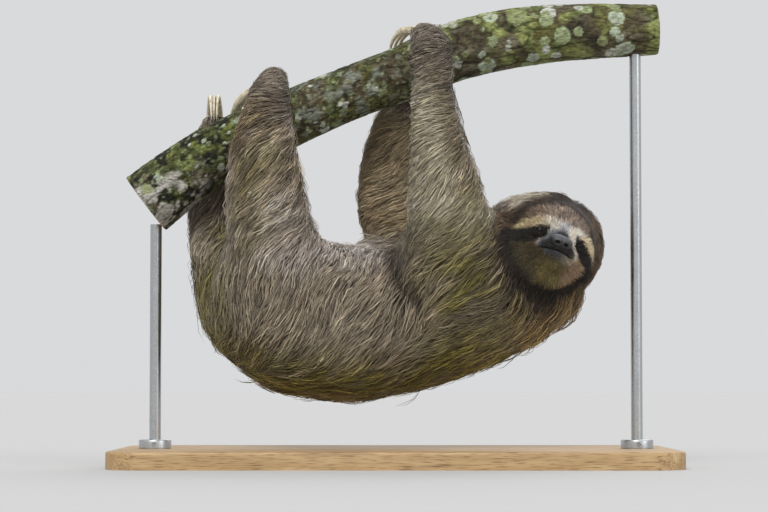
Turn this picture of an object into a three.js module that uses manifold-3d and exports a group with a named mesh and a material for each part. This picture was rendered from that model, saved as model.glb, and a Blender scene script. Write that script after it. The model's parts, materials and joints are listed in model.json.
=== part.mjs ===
// Three-toed sloth hanging by its four limbs from a cut length of branch, on a display stand.
// Millimetres, +Z up. The head is towards +X, the animal's left side towards -Y.
// The origin is on the floor, under the middle of the stand's base.
import * as THREE from "three";
import { mergeVertices } from "three/addons/utils/BufferGeometryUtils.js";
import Module from "manifold-3d";

const wasm = await Module();
wasm.setup();

// ---- driving dimensions ----

const gap = 0.3; // clearance between neighbouring pieces

// Net sizes: the cell of the surface net on each sort of body part.
const cell = { trunk: 23, limb: 17, hand: 13, head: 12.5 };

const base = { length: 580, depth: 300, height: 18, corner: 36, bevel: 2.5 };
const rod = { radius: 6, inBase: 12, inPerch: 14, sides: 16 };
const collar = { radius: 17, height: 9, bevel: 2 };
const rodAt = [-251, 253]; // X of the two rods

// The perch's centre line: X and Z, with Y on the XZ plane, and its radius there.
const perch = {
  line: [
    [-262, 274],
    [-205, 317],
    [-126, 357],
    [-47, 392],
    [5, 411],
    [58, 434],
    [110, 447],
    [173, 455],
    [277, 459],
  ],
  radius: [35, 32.5, 30.5, 28.5, 29, 31.5, 32, 30.5, 27],
  sides: 14,
  steps: 14,
};

// Each chain is a row of balls, [x, y, z, radius], to the tips of the coat; skin is drawn over each pair.
const spine = {
  width: 1.06, // across the body, against its depth
  balls: [
    [-127, 0, 168, 77],
    [-100, 0, 156, 83],
    [-47, 0, 150, 85],
    [10, 0, 155, 78],
    [60, 0, 167, 75],
    [104, 0, 182, 69],
    [148, -3, 194, 55],
  ],
};
const tail = {
  width: 1,
  balls: [
    [-190, 0, 205, 24],
    [-206, 0, 236, 14.5],
  ],
};
const limbs = {
  left_arm: {
    width: 0.92,
    balls: [
      [74, -46, 196, 58],
      [58, -56, 240, 48],
      [51.5, -58, 278, 41],
      [45.5, -58, 331, 33],
      [41, -56, 383, 27.5],
      [39, -51, 425, 24],
      [35, -36, 443, 19],
      [25, -14, 451, 14],
    ],
    root: { at: [50, -68, 246], along: [0, -0.1, 1], size: [100, 112] },
    wrist: { at: [39, -52, 418], along: [0, 0.1, 1], size: [70, 116] },
    digits: {
      at: [18, -7, 458],
      out: [-0.66, 0.73, 0.14],
      down: [-0.08, 0.28, -0.95],
      spread: 8.2,
      pinch: 0.35,
      bend: 25.5,
      length: 47,
      thick: 8,
    },
  },
  right_arm: {
    width: 0.95,
    balls: [
      [62, 46, 196, 56],
      [14, 54, 238, 45],
      [-5, 58, 278, 38],
      [-6, 58, 310, 33],
      [-3, 57, 341, 30],
      [3, 56, 367, 26],
      [15, 54, 388, 22],
      [27, 51, 407, 18],
      [38, 46, 424, 14],
    ],
    root: { at: [6, 66, 246], along: [-0.02, 0.04, 1], size: [124, 112] },
    wrist: { at: [13, 55, 384], along: [0.5, -0.1, 0.85], size: [70, 70] },
    digits: {
      at: [41.5, 37.5, 430],
      out: [0, 0.05, 1],
      down: [0, -1, 0.05],
      spread: 8.2,
      pinch: 0.3,
      bend: 33.5,
      length: 58,
      thick: 9,
    },
  },
  left_leg: {
    width: 0.92,
    balls: [
      [-112, -42, 176, 62],
      [-126, -54, 232, 46],
      [-132.5, -58, 278, 43.5],
      [-135, -59, 304, 40],
      [-135, -58, 331, 35.5],
      [-132, -56, 362, 30],
      [-128, -49, 386, 22],
      [-126, -34, 400, 17],
      [-124, -12, 403, 15],
    ],
    root: { at: [-124, -72, 236], along: [-0.08, -0.1, 1], size: [136, 112] },
    wrist: { at: [-129, -50, 379], along: [0.04, 0.15, 1], size: [70, 116] },
    digits: {
      at: [-140, -7, 396],
      out: [-0.84, 0.53, -0.02],
      down: [-0.15, 0.45, -0.88],
      spread: 8.4,
      pinch: 0.4,
      bend: 31,
      length: 60,
      thick: 9.3,
    },
  },
  right_leg: {
    width: 0.95,
    balls: [
      [-140, 40, 180, 58],
      [-176, 47, 236, 45],
      [-187, 51, 268, 36],
      [-192, 54, 300, 31],
      [-195, 56, 330, 24.5],
      [-194, 54, 350, 20],
      [-192, 46, 367, 15.5],
    ],
    root: { at: [-176, 66, 238], along: [-0.2, 0.02, 1], size: [110, 104] },
    wrist: { at: [-195, 56, 332], along: [0.02, -0.15, 1], size: [70, 80] },
    digits: {
      at: [-192.5, 36, 379],
      out: [0.02, -0.6, 0.8],
      down: [0.05, -0.8, -0.6],
      spread: 6.2,
      pinch: 0.62,
      bend: 26,
      length: 71,
      thick: 6.8,
    },
  },
};
const blend = { spine: 8, limb: 26, tail: 14, head: 7 }; // how softly a chain flows into the rest

// The head, in its own frame: side (to the animal's left), ahead (out of the face) and up (to the crown).
const head = {
  at: [159.5, -14, 228],
  turn: 10, // degrees the face looks past -Y towards +X
  lift: 3, // degrees it looks up
  roll: 21, // degrees the crown leans towards +X
  balls: [
    // [side, ahead, up], [radii], softness
    [[0, 0, 0], [58.5, 47, 58.5], 0],
    [[0, -20, 8], [60, 44, 54], 14], // the back of the head
    [[-40, -16, 8], [27, 30, 30], 16], // the long hair that the crown's parting throws to the animal's right
    [[0, 24, 10], [42, 28, 36], 12], // brow
    [[0, 22, -24], [38, 28, 26], 12], // cheeks and chin
    [[0, 46, -5], [23, 20, 17.5], 11], // muzzle
  ],
};
// Where the body is parted: a plane's middle, the way into the part, and the size of the part's cross-section.
const headCut = { at: [161, -18, 192], along: [0.2, -0.3, 0.93], size: [140, 142] };
const shoulderCut = { at: [107, -34, 208], along: [-0.89, -0.32, -0.32], size: [300, 300] };
const neckCut = { at: [124, 0, 184], along: [0.94, 0, 0.34], size: [240, 240] };
const tailCut = { at: [-199, 0, 219], along: [-0.45, 0, 0.9], size: [60, 44] };

const eye = { at: [21.3, 43.6, 3.7], radius: 6.6, sides: 10 };
const nose = { at: [0, 63.4, -1.5], radii: [12.5, 5.6, 7.6], sides: 12 };

// ---- small helpers ----

const vec = (xyz) => new THREE.Vector3(...xyz);
const along = (a, b, t) => a + (b - a) * t;

// The solid of a closed geometry.
function solidOf(geometry) {
  const bare = new THREE.BufferGeometry().setAttribute("position", geometry.getAttribute("position"));
  bare.setIndex(geometry.index);
  const merged = mergeVertices(bare, 1e-3);
  return new wasm.Manifold(
    new wasm.Mesh({
      numProp: 3,
      vertProperties: new Float32Array(merged.getAttribute("position").array),
      triVerts: new Uint32Array(merged.index.array),
    }),
  );
}

// A mesh of the solid, named and coloured.
function meshOf(name, solid, material) {
  const made = solid.getMesh();
  const geometry = new THREE.BufferGeometry();
  geometry.setAttribute("position", new THREE.BufferAttribute(made.vertProperties, 3));
  geometry.setIndex(new THREE.BufferAttribute(made.triVerts, 1));
  geometry.computeVertexNormals();
  const mesh = new THREE.Mesh(geometry, material);
  mesh.name = name;
  return mesh;
}

// A closed tube of rings from first to last. ring(t) gives its centre, two unit axes and two radii.
function tubeGeometry(ring, steps, sides, pointed = false) {
  const rings = pointed ? steps : steps + 1;
  const points = [];
  for (let i = 0; i < rings; i++) {
    const { centre, u, v, ru, rv } = ring(i / steps);
    for (let j = 0; j < sides; j++) {
      const angle = (2 * Math.PI * j) / sides;
      const point = centre.clone().addScaledVector(u, ru * Math.cos(angle));
      points.push(point.addScaledVector(v, rv * Math.sin(angle)));
    }
  }
  const foot = points.push(ring(0).centre) - 1;
  const tip = points.push(ring(1).centre) - 1;
  const faces = [];
  const lastRing = (rings - 1) * sides;
  for (let j = 0; j < sides; j++) {
    const next = (j + 1) % sides;
    for (let i = 0; i < rings - 1; i++) {
      const a = i * sides;
      faces.push(a + j, a + next, a + sides + next, a + j, a + sides + next, a + sides + j);
    }
    faces.push(foot, next, j);
    faces.push(tip, lastRing + j, lastRing + next);
  }
  const geometry = new THREE.BufferGeometry().setFromPoints(points);
  geometry.setIndex(faces);
  return geometry;
}

// A box solid whose lower face is centred at a point and faces against a direction.
function boxFrom({ at, along: direction, size }, height, grow = 0) {
  const geometry = new THREE.BoxGeometry(size[0] + 2 * grow, size[1] + 2 * grow, height + 2 * grow);
  geometry.translate(0, 0, height / 2);
  const turn = new THREE.Quaternion().setFromUnitVectors(vec([0, 0, 1]), vec(direction).normalize());
  geometry.applyQuaternion(turn).translate(...at);
  return solidOf(geometry);
}

// ---- the body as a distance field ----

// Distance to the skin drawn over two balls (a cone with round ends).
function roundCone(x, y, z, a, b) {
  const [dx, dy, dz] = [b[0] - a[0], b[1] - a[1], b[2] - a[2]];
  const l2 = dx * dx + dy * dy + dz * dz;
  const shrink = a[3] - b[3];
  const a2 = l2 - shrink * shrink;
  const [px, py, pz] = [x - a[0], y - a[1], z - a[2]];
  const up = px * dx + py * dy + pz * dz;
  const beyond = up - l2;
  const [qx, qy, qz] = [px * l2 - dx * up, py * l2 - dy * up, pz * l2 - dz * up];
  const x2 = qx * qx + qy * qy + qz * qz;
  const y2 = up * up * l2;
  const z2 = beyond * beyond * l2;
  const k = Math.sign(shrink) * shrink * shrink * x2;
  if (Math.sign(beyond) * a2 * z2 > k) return Math.sqrt(x2 + z2) / l2 - b[3];
  if (Math.sign(up) * a2 * y2 < k) return Math.sqrt(x2 + y2) / l2 - a[3];
  return (Math.sqrt((x2 * a2) / l2) + up * shrink) / l2 - a[3];
}

// The nearer of two distances, with a fillet of about softness between them.
function joined(a, b, softness) {
  const overlap = Math.max(softness - Math.abs(a - b), 0) / Math.max(softness, 1e-6);
  return Math.min(a, b) - (overlap * overlap * softness) / 4;
}

function chainDistance(x, y, z, { balls, width }, softness) {
  let distance = Infinity;
  for (let i = 1; i < balls.length; i++) {
    const flatY = balls[i][1] + (y - balls[i][1]) / width; // the section's width, squeezed back to round
    distance = joined(distance, roundCone(x, flatY, z, balls[i - 1], balls[i]), i > 1 ? softness : 0);
  }
  return distance;
}

function bodyDistance(x, y, z) {
  let distance = chainDistance(x, y, z, spine, blend.spine);
  distance = joined(distance, chainDistance(x, y, z, tail, 0), blend.tail);
  for (const limb of Object.values(limbs)) {
    distance = joined(distance, chainDistance(x, y, z, limb, 6), blend.limb);
  }
  return joined(distance, headDistance(x, y, z), blend.head);
}

// The head's frame: the columns are side, ahead and up.
const radians = THREE.MathUtils.degToRad;
const headFrame = new THREE.Matrix4()
  .makeRotationZ(radians(head.turn))
  .multiply(new THREE.Matrix4().makeRotationX(radians(-head.lift)))
  .multiply(new THREE.Matrix4().makeRotationY(radians(head.roll)))
  .multiply(new THREE.Matrix4().makeScale(1, -1, 1)) // ahead is -Y before the head turns
  .setPosition(...head.at);
const intoHead = headFrame.clone().invert();
const probe = new THREE.Vector3();

function headDistance(x, y, z) {
  probe.set(x, y, z).applyMatrix4(intoHead);
  let distance = Infinity;
  for (const [at, radii, softness] of head.balls) {
    const scaled = [0, 1, 2].map((i) => (probe.getComponent(i) - at[i]) / radii[i]);
    const k0 = Math.hypot(...scaled);
    const k1 = Math.hypot(...scaled.map((s, i) => s / radii[i]));
    distance = joined(distance, (k0 * (k0 - 1)) / Math.max(k1, 1e-9), softness);
  }
  return distance;
}

// The corners, edges and faces of a unit cell. An edge is a pair of corners, a face a ring of four edges.
const corners = [0, 1, 2, 3, 4, 5, 6, 7].map((c) => [c & 1, (c >> 1) & 1, c >> 2]);
const edges = [];
for (let a = 0; a < 8; a++) for (const bit of [1, 2, 4]) if (!(a & bit)) edges.push([a, a | bit]);
const edgeNumber = (a, b) => edges.findIndex(([c, d]) => c === Math.min(a, b) && d === Math.max(a, b));
const sides = [];
for (const [u, v, w] of [[1, 2, 4], [2, 4, 1], [4, 1, 2]]) for (const off of [0, w]) sides.push([off, off | u, off | u | v, off | v]);

// The crossed edges of a cell, in the groups that bound one patch of surface each.
function patchesOf(held) {
  const group = edges.map(([a, b], i) => (held[a] < 0 === held[b] < 0 ? -1 : i));
  const link = (i, j) => {
    const [from, to] = [group[j], group[i]];
    group.forEach((g, k) => g === from && (group[k] = to));
  };
  for (const ring of sides) {
    const round = ring.map((corner, i) => edgeNumber(corner, ring[(i + 1) % 4]));
    const crossed = round.filter((e) => group[e] >= 0);
    if (crossed.length === 2) link(...crossed);
    if (crossed.length === 4) {
      // Two inside corners face each other: each keeps its own patch.
      ring.forEach((corner, i) => held[corner] < 0 && link(round[(i + 3) % 4], round[i]));
    }
  }
  return group;
}

// A net point moved onto the field's own surface, unless it lies on the rim of the net's box.
function pulled(field, point, size, level) {
  const off = field(...point) - level;
  if (Math.abs(off) > 0.3 * size) return point;
  const slope = vec([0, 1, 2].map((m) => {
    const [before, after] = [-1, 1].map((s) => point.toArray().map((c, n) => c + (n === m ? s : 0)));
    return (field(...after) - field(...before)) / 2;
  }));
  return point.addScaledVector(slope, -off / Math.max(slope.lengthSq(), 0.3));
}

// A closed solid of where the field is below level, in a box, by a net of one point for each cell's patch.
function netSolid(field, low, high, size, level = 0) {
  const [nx, ny, nz] = low.map((l, i) => Math.ceil((high[i] - l) / size) + 2);
  const index = (i, j, k) => i + nx * (j + ny * k);
  const value = new Float64Array(nx * ny * nz);
  const each = (first, last, visit) => {
    for (let k = first; k < nz - last; k++)
      for (let j = first; j < ny - last; j++) for (let i = first; i < nx - last; i++) visit(i, j, k);
  };
  each(0, 0, (i, j, k) => {
    const rim = i < 1 || j < 1 || k < 1 || i > nx - 2 || j > ny - 2 || k > nz - 2;
    const at = [i, j, k].map((n, m) => low[m] + (n - 0.5) * size);
    value[index(i, j, k)] = rim ? size : field(...at) - level;
  });
  const points = [];
  const pointOf = new Map(); // by cell and edge
  each(0, 1, (i, j, k) => {
    const held = corners.map(([x, y, z]) => value[index(i + x, j + y, k + z)]);
    const inside = held.filter((h) => h < 0).length;
    if (inside === 0 || inside === 8) return;
    const group = patchesOf(held);
    for (const patch of new Set(group.filter((g) => g >= 0))) {
      const members = edges.map((_, e) => e).filter((e) => group[e] === patch);
      const middle = [0, 0, 0];
      for (const e of members) {
        const [a, b] = edges[e];
        const t = held[a] / (held[a] - held[b]);
        middle.forEach((s, m) => (middle[m] = s + along(corners[a][m], corners[b][m], t) / members.length));
      }
      points.push(pulled(field, vec([i, j, k].map((n, m) => low[m] + (n - 0.5 + middle[m]) * size)), size, level));
      for (const e of members) pointOf.set(index(i, j, k) * 12 + e, points.length - 1);
    }
  });
  const faces = [];
  const steps = [1, nx, nx * ny];
  each(0, 1, (i, j, k) => {
    const here = index(i, j, k);
    for (let m = 0; m < 3; m++) {
      const inside = value[here] < 0;
      if (inside === value[here + steps[m]] < 0) continue;
      // The four cells round this edge, and which of their own edges it is.
      const [u, v] = [(m + 1) % 3, (m + 2) % 3];
      const round = [[0, 0], [1, 0], [1, 1], [0, 1]].map(([du, dv]) => {
        const corner = (du << u) | (dv << v);
        const cellHere = here - du * steps[u] - dv * steps[v];
        return pointOf.get(cellHere * 12 + edgeNumber(corner, corner | (1 << m)));
      });
      if (!inside) round.reverse();
      const [a, b, c, d] = round;
      const acrossAC = points[a].distanceTo(points[c]) < points[b].distanceTo(points[d]);
      faces.push(...(acrossAC ? [a, b, c, a, c, d] : [a, b, d, b, c, d]));
    }
  });
  const geometry = new THREE.BufferGeometry().setFromPoints(points);
  geometry.setIndex(faces);
  return solidOf(geometry);
}

// ---- materials ----

const coat = new THREE.MeshStandardMaterial({ color: 0x7b6c58, roughness: 0.95 });
const darkCoat = new THREE.MeshStandardMaterial({ color: 0x5c4c3f, roughness: 0.95 });
const claw = new THREE.MeshStandardMaterial({ color: 0xcfc3a4, roughness: 0.45 });
const noseSkin = new THREE.MeshStandardMaterial({ color: 0x26252a, roughness: 0.5 });
const eyeball = new THREE.MeshStandardMaterial({ color: 0x17100c, roughness: 0.08 });
const bark = new THREE.MeshStandardMaterial({ color: 0x55503c, roughness: 0.95 });
const oak = new THREE.MeshStandardMaterial({ color: 0xab8d63, roughness: 0.55 });
const steel = new THREE.MeshStandardMaterial({ color: 0x8a8c90, roughness: 0.3, metalness: 1 });

// ---- the perch ----

const perchLine = new THREE.CatmullRomCurve3(perch.line.map(([x, z]) => vec([x, 0, z])), false, "centripetal");

function perchSolid(grow = 0) {
  const last = perch.radius.length - 1;
  const across = vec([0, 1, 0]);
  const ring = (t) => {
    const at = Math.min(t * last, last - 1e-9);
    const i = Math.floor(at);
    const radius = along(perch.radius[i], perch.radius[i + 1], at - i) + grow;
    const normal = perchLine.getTangent(t).cross(across);
    return { centre: perchLine.getPoint(t), u: across, v: normal, ru: radius, rv: radius };
  };
  return solidOf(tubeGeometry(ring, perch.steps, perch.sides));
}

const grownPerch = perchSolid(gap);

// ---- claws ----

// One hooked claw: it leaves its root straight ahead, then bends down along an arc to a point.
function clawSolid(digits, number, grow = 0) {
  const out = vec(digits.out).normalize();
  const down = vec(digits.down).normalize();
  const side = out.clone().cross(down).normalize();
  const root = vec(digits.at).addScaledVector(side, digits.spread * number);
  const inside = 9; // length hidden in the toe
  const total = inside + digits.length;
  const ring = (t) => {
    const run = t * total - inside;
    const angle = Math.max(run, 0) / digits.bend;
    const centre = root.clone().addScaledVector(out, digits.bend * Math.sin(angle) + Math.min(run, 0));
    centre.addScaledVector(down, digits.bend * (1 - Math.cos(angle)));
    centre.addScaledVector(side, -digits.spread * number * digits.pinch * t);
    const heading = out.clone().multiplyScalar(Math.cos(angle)).addScaledVector(down, Math.sin(angle));
    const taper = 0.5 * digits.thick * Math.pow(Math.max(1 - t, 0), 0.45) * (1.12 - 0.3 * t);
    return {
      centre: grow ? centre.addScaledVector(heading, t === 1 ? grow : 0) : centre,
      u: side,
      v: heading.clone().cross(side),
      ru: 0.78 * taper + grow,
      rv: taper + grow,
    };
  };
  return solidOf(tubeGeometry(ring, 8, 6, true));
}

// ---- cutting the body into its parts ----

const reach = 400; // longer than any limb
const limbNames = Object.keys(limbs);

// The corners of a region round some balls, with room for fillets.
function around(balls, room) {
  const low = [0, 1, 2].map((i) => Math.min(...balls.map((b) => b[i] - b[3])) - room);
  const high = [0, 1, 2].map((i) => Math.max(...balls.map((b) => b[i] + b[3])) + room);
  return [low, high];
}

const cut = (solid, tools) => tools.reduce((left, tool) => left.subtract(tool), solid);
const largest = (solid) => solid.decompose().sort((a, b) => b.volume() - a.volume())[0];
const roots = limbNames.map((name) => boxFrom(limbs[name].root, reach, gap));
const wrists = limbNames.map((name) => boxFrom(limbs[name].wrist, reach, gap));
const fingers = [-1, 0, 1];
const grownClaws = limbNames.flatMap((name) => fingers.map((n) => clawSolid(limbs[name].digits, n, gap)));

// The space that the head's part fills: above the neck, and clear of the near shoulder.
const headRegion = (grow) =>
  boxFrom(headCut, reach, grow)
    .subtract(boxFrom(shoulderCut, reach, -grow))
    .subtract(boxFrom(limbs.left_arm.root, reach, gap - grow));

const root = new THREE.Group();

function addLimb(name) {
  const { balls, digits, root: rootPlace, wrist } = limbs[name];
  const side = name.split("_")[0];
  const paw = name.includes("arm") ? "hand" : "foot";
  const limbNet = netSolid(bodyDistance, ...around(balls, 16), cell.limb);
  const limb = cut(limbNet.intersect(boxFrom(rootPlace, reach)), [boxFrom(wrist, reach, gap), grownPerch]);
  const handNet = netSolid(bodyDistance, ...around(balls.slice(-5), 9), cell.hand);
  const hand = cut(handNet.intersect(boxFrom(wrist, reach)), [grownPerch]);
  root.add(meshOf(name, largest(cut(limb, grownClaws)), coat));
  root.add(meshOf(`${side}_${paw}`, largest(cut(hand, grownClaws)), coat));
  for (const n of fingers) {
    const solid = largest(clawSolid(digits, n).subtract(grownPerch));
    root.add(meshOf(`${side}_${paw}_claw_${n + 2}`, solid, claw));
  }
}

// An ellipsoid placed in the head's frame.
function ellipsoid({ radii, sides: round }, at, grow = 0) {
  const geometry = new THREE.SphereGeometry(1, round, Math.round(round * 0.6));
  geometry.scale(...radii.map((r) => r + grow)).translate(...at).applyMatrix4(headFrame);
  const order = geometry.index.array; // the head's frame mirrors, so the faces are turned round
  for (let i = 0; i < order.length; i += 3) [order[i], order[i + 1]] = [order[i + 1], order[i]];
  return solidOf(geometry);
}

function addHead() {
  const [low, high] = [-85, 85].map((d) => head.at.map((c) => c + d));
  let solid = netSolid(bodyDistance, low, high, cell.head).intersect(headRegion(0));
  const ball = { radii: [eye.radius, eye.radius, eye.radius], sides: eye.sides };
  for (const [side, sign] of [["left", 1], ["right", -1]]) {
    const at = [sign * eye.at[0], eye.at[1], eye.at[2]];
    solid = solid.subtract(ellipsoid(ball, at, gap));
    root.add(meshOf(`${side}_eye`, ellipsoid(ball, at), eyeball));
  }
  root.add(meshOf("nose", ellipsoid(nose, nose.at), noseSkin));
  root.add(meshOf("head", largest(solid.subtract(ellipsoid(nose, nose.at, gap))), darkCoat));
}

function addTrunk() {
  const trunkBalls = [...spine.balls, ...tail.balls, ...limbNames.map((name) => limbs[name].balls[0])];
  const [neckBox, tailBox] = [neckCut, tailCut].map((place) => boxFrom(place, reach, gap));
  const headBox = headRegion(gap);
  const neckNet = netSolid(bodyDistance, ...around(spine.balls.slice(-2), 26), cell.limb);
  const neck = cut(neckNet.intersect(boxFrom(neckCut, reach)), [...roots, headBox]);
  const tailNet = netSolid(bodyDistance, ...around(tail.balls, 20), cell.hand);
  const tailPiece = cut(tailNet.intersect(boxFrom(tailCut, reach)), roots);
  const trunkNet = netSolid(bodyDistance, ...around(trunkBalls, 40), cell.trunk);
  const trunk = cut(trunkNet, [...roots, ...wrists, headBox, neckBox, tailBox]);
  root.add(meshOf("neck", largest(neck), coat));
  root.add(meshOf("tail", largest(tailPiece), coat));
  root.add(meshOf("trunk", largest(trunk), coat));
}

// ---- the stand ----

function addStand() {
  const outline = new THREE.Shape();
  const [x, y, r] = [base.length / 2 - base.bevel, base.depth / 2 - base.bevel, base.corner];
  outline.moveTo(-x + r, -y);
  outline.lineTo(x - r, -y).absarc(x - r, -y + r, r, -Math.PI / 2, 0);
  outline.lineTo(x, y - r).absarc(x - r, y - r, r, 0, Math.PI / 2);
  outline.lineTo(-x + r, y).absarc(-x + r, y - r, r, Math.PI / 2, Math.PI);
  outline.lineTo(-x, -y + r).absarc(-x + r, -y + r, r, Math.PI, 1.5 * Math.PI);
  const plate = new THREE.ExtrudeGeometry(outline, {
    depth: base.height - 2 * base.bevel,
    bevelThickness: base.bevel,
    bevelSize: base.bevel,
    bevelSegments: 1,
    curveSegments: 4,
  }).translate(0, 0, base.bevel);
  let plateSolid = solidOf(plate);
  let perchPiece = perchSolid();
  rodAt.forEach((x0, i) => {
    const side = ["left", "right"][i];
    const bottom = base.height - rod.inBase;
    const top = undersideAt(x0) + rod.inPerch;
    const upright = (radius, low, high) =>
      solidOf(
        new THREE.CylinderGeometry(radius, radius, high - low, rod.sides)
          .rotateX(Math.PI / 2)
          .translate(x0, 0, (low + high) / 2),
      );
    const bore = upright(rod.radius + gap, bottom - gap, top + gap);
    plateSolid = plateSolid.subtract(bore);
    perchPiece = perchPiece.subtract(bore);
    const profile = [
      [rod.radius + gap, 0],
      [collar.radius, 0],
      [collar.radius, collar.height - collar.bevel],
      [collar.radius - collar.bevel, collar.height],
      [rod.radius + gap, collar.height],
      [rod.radius + gap, 0],
    ].map(([px, py]) => new THREE.Vector2(px, py));
    const ringGeometry = new THREE.LatheGeometry(profile, 16)
      .rotateX(Math.PI / 2)
      .translate(x0, 0, base.height + gap);
    root.add(meshOf(`stand_rod_${side}`, upright(rod.radius, bottom, top), steel));
    root.add(meshOf(`stand_collar_${side}`, solidOf(ringGeometry), steel));
  });
  root.add(meshOf("stand_base", plateSolid, oak));
  root.add(meshOf("perch_branch", largest(perchPiece), bark));
}

// Height of the perch's underside over a place on the base.
function undersideAt(x0) {
  const steps = 400;
  for (let i = 0; i <= steps; i++) {
    const point = perchLine.getPoint(i / steps);
    if (point.x >= x0) return point.z - radiusNear(i / steps);
  }
  return perchLine.getPoint(1).z;
}

function radiusNear(t) {
  const last = perch.radius.length - 1;
  const i = Math.min(Math.floor(t * last), last - 1);
  const slope = perchLine.getTangent(t);
  return along(perch.radius[i], perch.radius[i + 1], t * last - i) / Math.max(slope.x, 0.3);
}

addHead();
for (const name of limbNames) addLimb(name);
addTrunk();
addStand();

export default root;
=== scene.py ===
# Three-toed sloth hanging from a cut branch: skin, coat, face, claws, perch and stand, round the CAD frame.
import bpy
import json
import math
import numpy as np
from mathutils import Matrix, Vector, noise
from mathutils.bvhtree import BVHTree
from mathutils.kdtree import KDTree

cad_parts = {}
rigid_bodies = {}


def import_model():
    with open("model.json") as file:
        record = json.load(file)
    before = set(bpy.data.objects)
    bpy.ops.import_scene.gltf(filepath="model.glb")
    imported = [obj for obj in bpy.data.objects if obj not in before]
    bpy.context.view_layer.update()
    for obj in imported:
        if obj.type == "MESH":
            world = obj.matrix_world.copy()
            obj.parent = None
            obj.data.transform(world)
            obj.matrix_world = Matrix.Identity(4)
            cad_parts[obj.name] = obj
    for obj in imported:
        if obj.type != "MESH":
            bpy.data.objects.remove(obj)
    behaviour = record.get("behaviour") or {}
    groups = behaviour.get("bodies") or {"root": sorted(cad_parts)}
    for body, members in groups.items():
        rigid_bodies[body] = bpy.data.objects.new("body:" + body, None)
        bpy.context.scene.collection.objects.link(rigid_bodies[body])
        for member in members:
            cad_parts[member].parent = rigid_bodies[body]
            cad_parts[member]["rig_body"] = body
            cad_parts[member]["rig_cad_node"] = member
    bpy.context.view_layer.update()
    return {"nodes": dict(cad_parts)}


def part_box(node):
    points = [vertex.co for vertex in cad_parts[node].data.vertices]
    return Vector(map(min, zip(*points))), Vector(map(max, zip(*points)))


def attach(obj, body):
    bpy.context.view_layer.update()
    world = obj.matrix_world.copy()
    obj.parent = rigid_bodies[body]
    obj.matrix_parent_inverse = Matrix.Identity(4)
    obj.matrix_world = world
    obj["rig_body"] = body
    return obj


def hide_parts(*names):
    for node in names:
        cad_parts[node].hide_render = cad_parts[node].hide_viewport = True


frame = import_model()
bpy.ops.object.select_all(action="DESELECT")
rng = np.random.default_rng(seed=11)
mm = 0.001
print("frame loaded:", len(frame["nodes"]), "nodes")


def linear(code):  # an sRGB hex colour as linear red, green and blue
    parts = [int(code[i:i + 2], 16) / 255 for i in (1, 3, 5)]
    return [p / 12.92 if p <= 0.04045 else ((p + 0.055) / 1.055) ** 2.4 for p in parts]


def addNode(tree, kind, inputs=(), stops=(), **settings):  # a node given as an input feeds its first output
    node = tree.nodes.new("ShaderNode" + kind)
    for key, value in settings.items():
        setattr(node, key, value)
    for key, value in dict(inputs).items():
        if isinstance(value, bpy.types.Node):
            value = value.outputs[0]
        if isinstance(value, bpy.types.NodeSocket):
            tree.links.new(value, node.inputs[key])
        else:
            node.inputs[key].default_value = linear(value) + [1.0] if isinstance(value, str) else value
    for i, (position, code) in enumerate(stops):  # a ramp's stops, in rising order
        element = node.color_ramp.elements[i] if i < 2 else node.color_ramp.elements.new(position)
        element.position = position
        element.color = linear(code) + [1.0]
    return node


def newMaterial(name):
    material = bpy.data.materials.new(name)
    material.use_nodes = True
    material.node_tree.nodes.clear()
    return material, material.node_tree


def activate(*pieces):
    bpy.ops.object.select_all(action="DESELECT")
    for piece in pieces:
        piece.select_set(True)
    bpy.context.view_layer.objects.active = pieces[0]


def setMode(mode):
    bpy.ops.object.mode_set(mode=mode)


def pick(piece, kind, chosen):  # opens edit mode with the chosen faces or edges selected
    activate(piece)
    setMode("EDIT")
    bpy.ops.mesh.select_all(action="DESELECT")
    setMode("OBJECT")
    items = piece.data.polygons if kind == "FACE" else piece.data.edges
    items.foreach_set("select", chosen)
    setMode("EDIT")
    bpy.ops.mesh.select_mode(type=kind)


def turnOutwards(piece):
    activate(piece)
    setMode("EDIT")
    bpy.ops.mesh.select_all(action="SELECT")
    bpy.ops.mesh.normals_make_consistent(inside=False)
    setMode("OBJECT")


def applyModifier(piece, kind, **settings):
    activate(piece)
    modifier = piece.modifiers.new(kind.lower(), kind)
    for key, value in settings.items():
        setattr(modifier, key, value)
    bpy.ops.object.modifier_apply(modifier=modifier.name)


def remesh(piece, voxel, rounding):  # fuses a piece at a voxel size in mm and rounds it
    applyModifier(piece, "REMESH", mode="VOXEL", voxel_size=voxel * mm)
    applyModifier(piece, "SMOOTH", factor=0.5, iterations=rounding)


def named(piece, name):
    piece.name = name
    piece.data.name = name
    return piece


def newBall(segments, rings):
    bpy.ops.mesh.primitive_uv_sphere_add(segments=segments, ring_count=rings, radius=1)
    return bpy.context.object


def copyOfNodes(names, newName):  # one new piece from copies of CAD nodes
    activate(*[frame["nodes"][name] for name in names])
    bpy.ops.object.duplicate()
    copies = list(bpy.context.selected_objects)
    bpy.ops.object.parent_clear(type="CLEAR_KEEP_TRANSFORM")
    for copy in copies:
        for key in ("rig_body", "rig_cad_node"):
            if key in copy:
                del copy[key]
    if len(copies) > 1:
        bpy.ops.object.join()
    piece = named(bpy.context.object, newName)
    piece.data.materials.clear()
    return piece


def finishPiece(piece, material, nodes=()):
    piece.data.materials.clear()
    piece.data.materials.append(material)
    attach(piece, "root")
    if nodes:
        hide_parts(*nodes)


def read(items, key, width, kind=np.float32):  # a number or vector of every item of a mesh
    values = np.empty(len(items) * width, kind)
    items.foreach_get(key, values)
    return values.reshape(-1, width)


def pointsOf(piece):
    return read(piece.data.vertices, "co", 3).astype(float)


def setPoints(piece, points):
    piece.data.vertices.foreach_set("co", np.ascontiguousarray(points, np.float32).ravel())
    piece.data.update()


def normalsOf(piece):
    return read(piece.data.vertex_normals, "vector", 3).astype(float)


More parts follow.
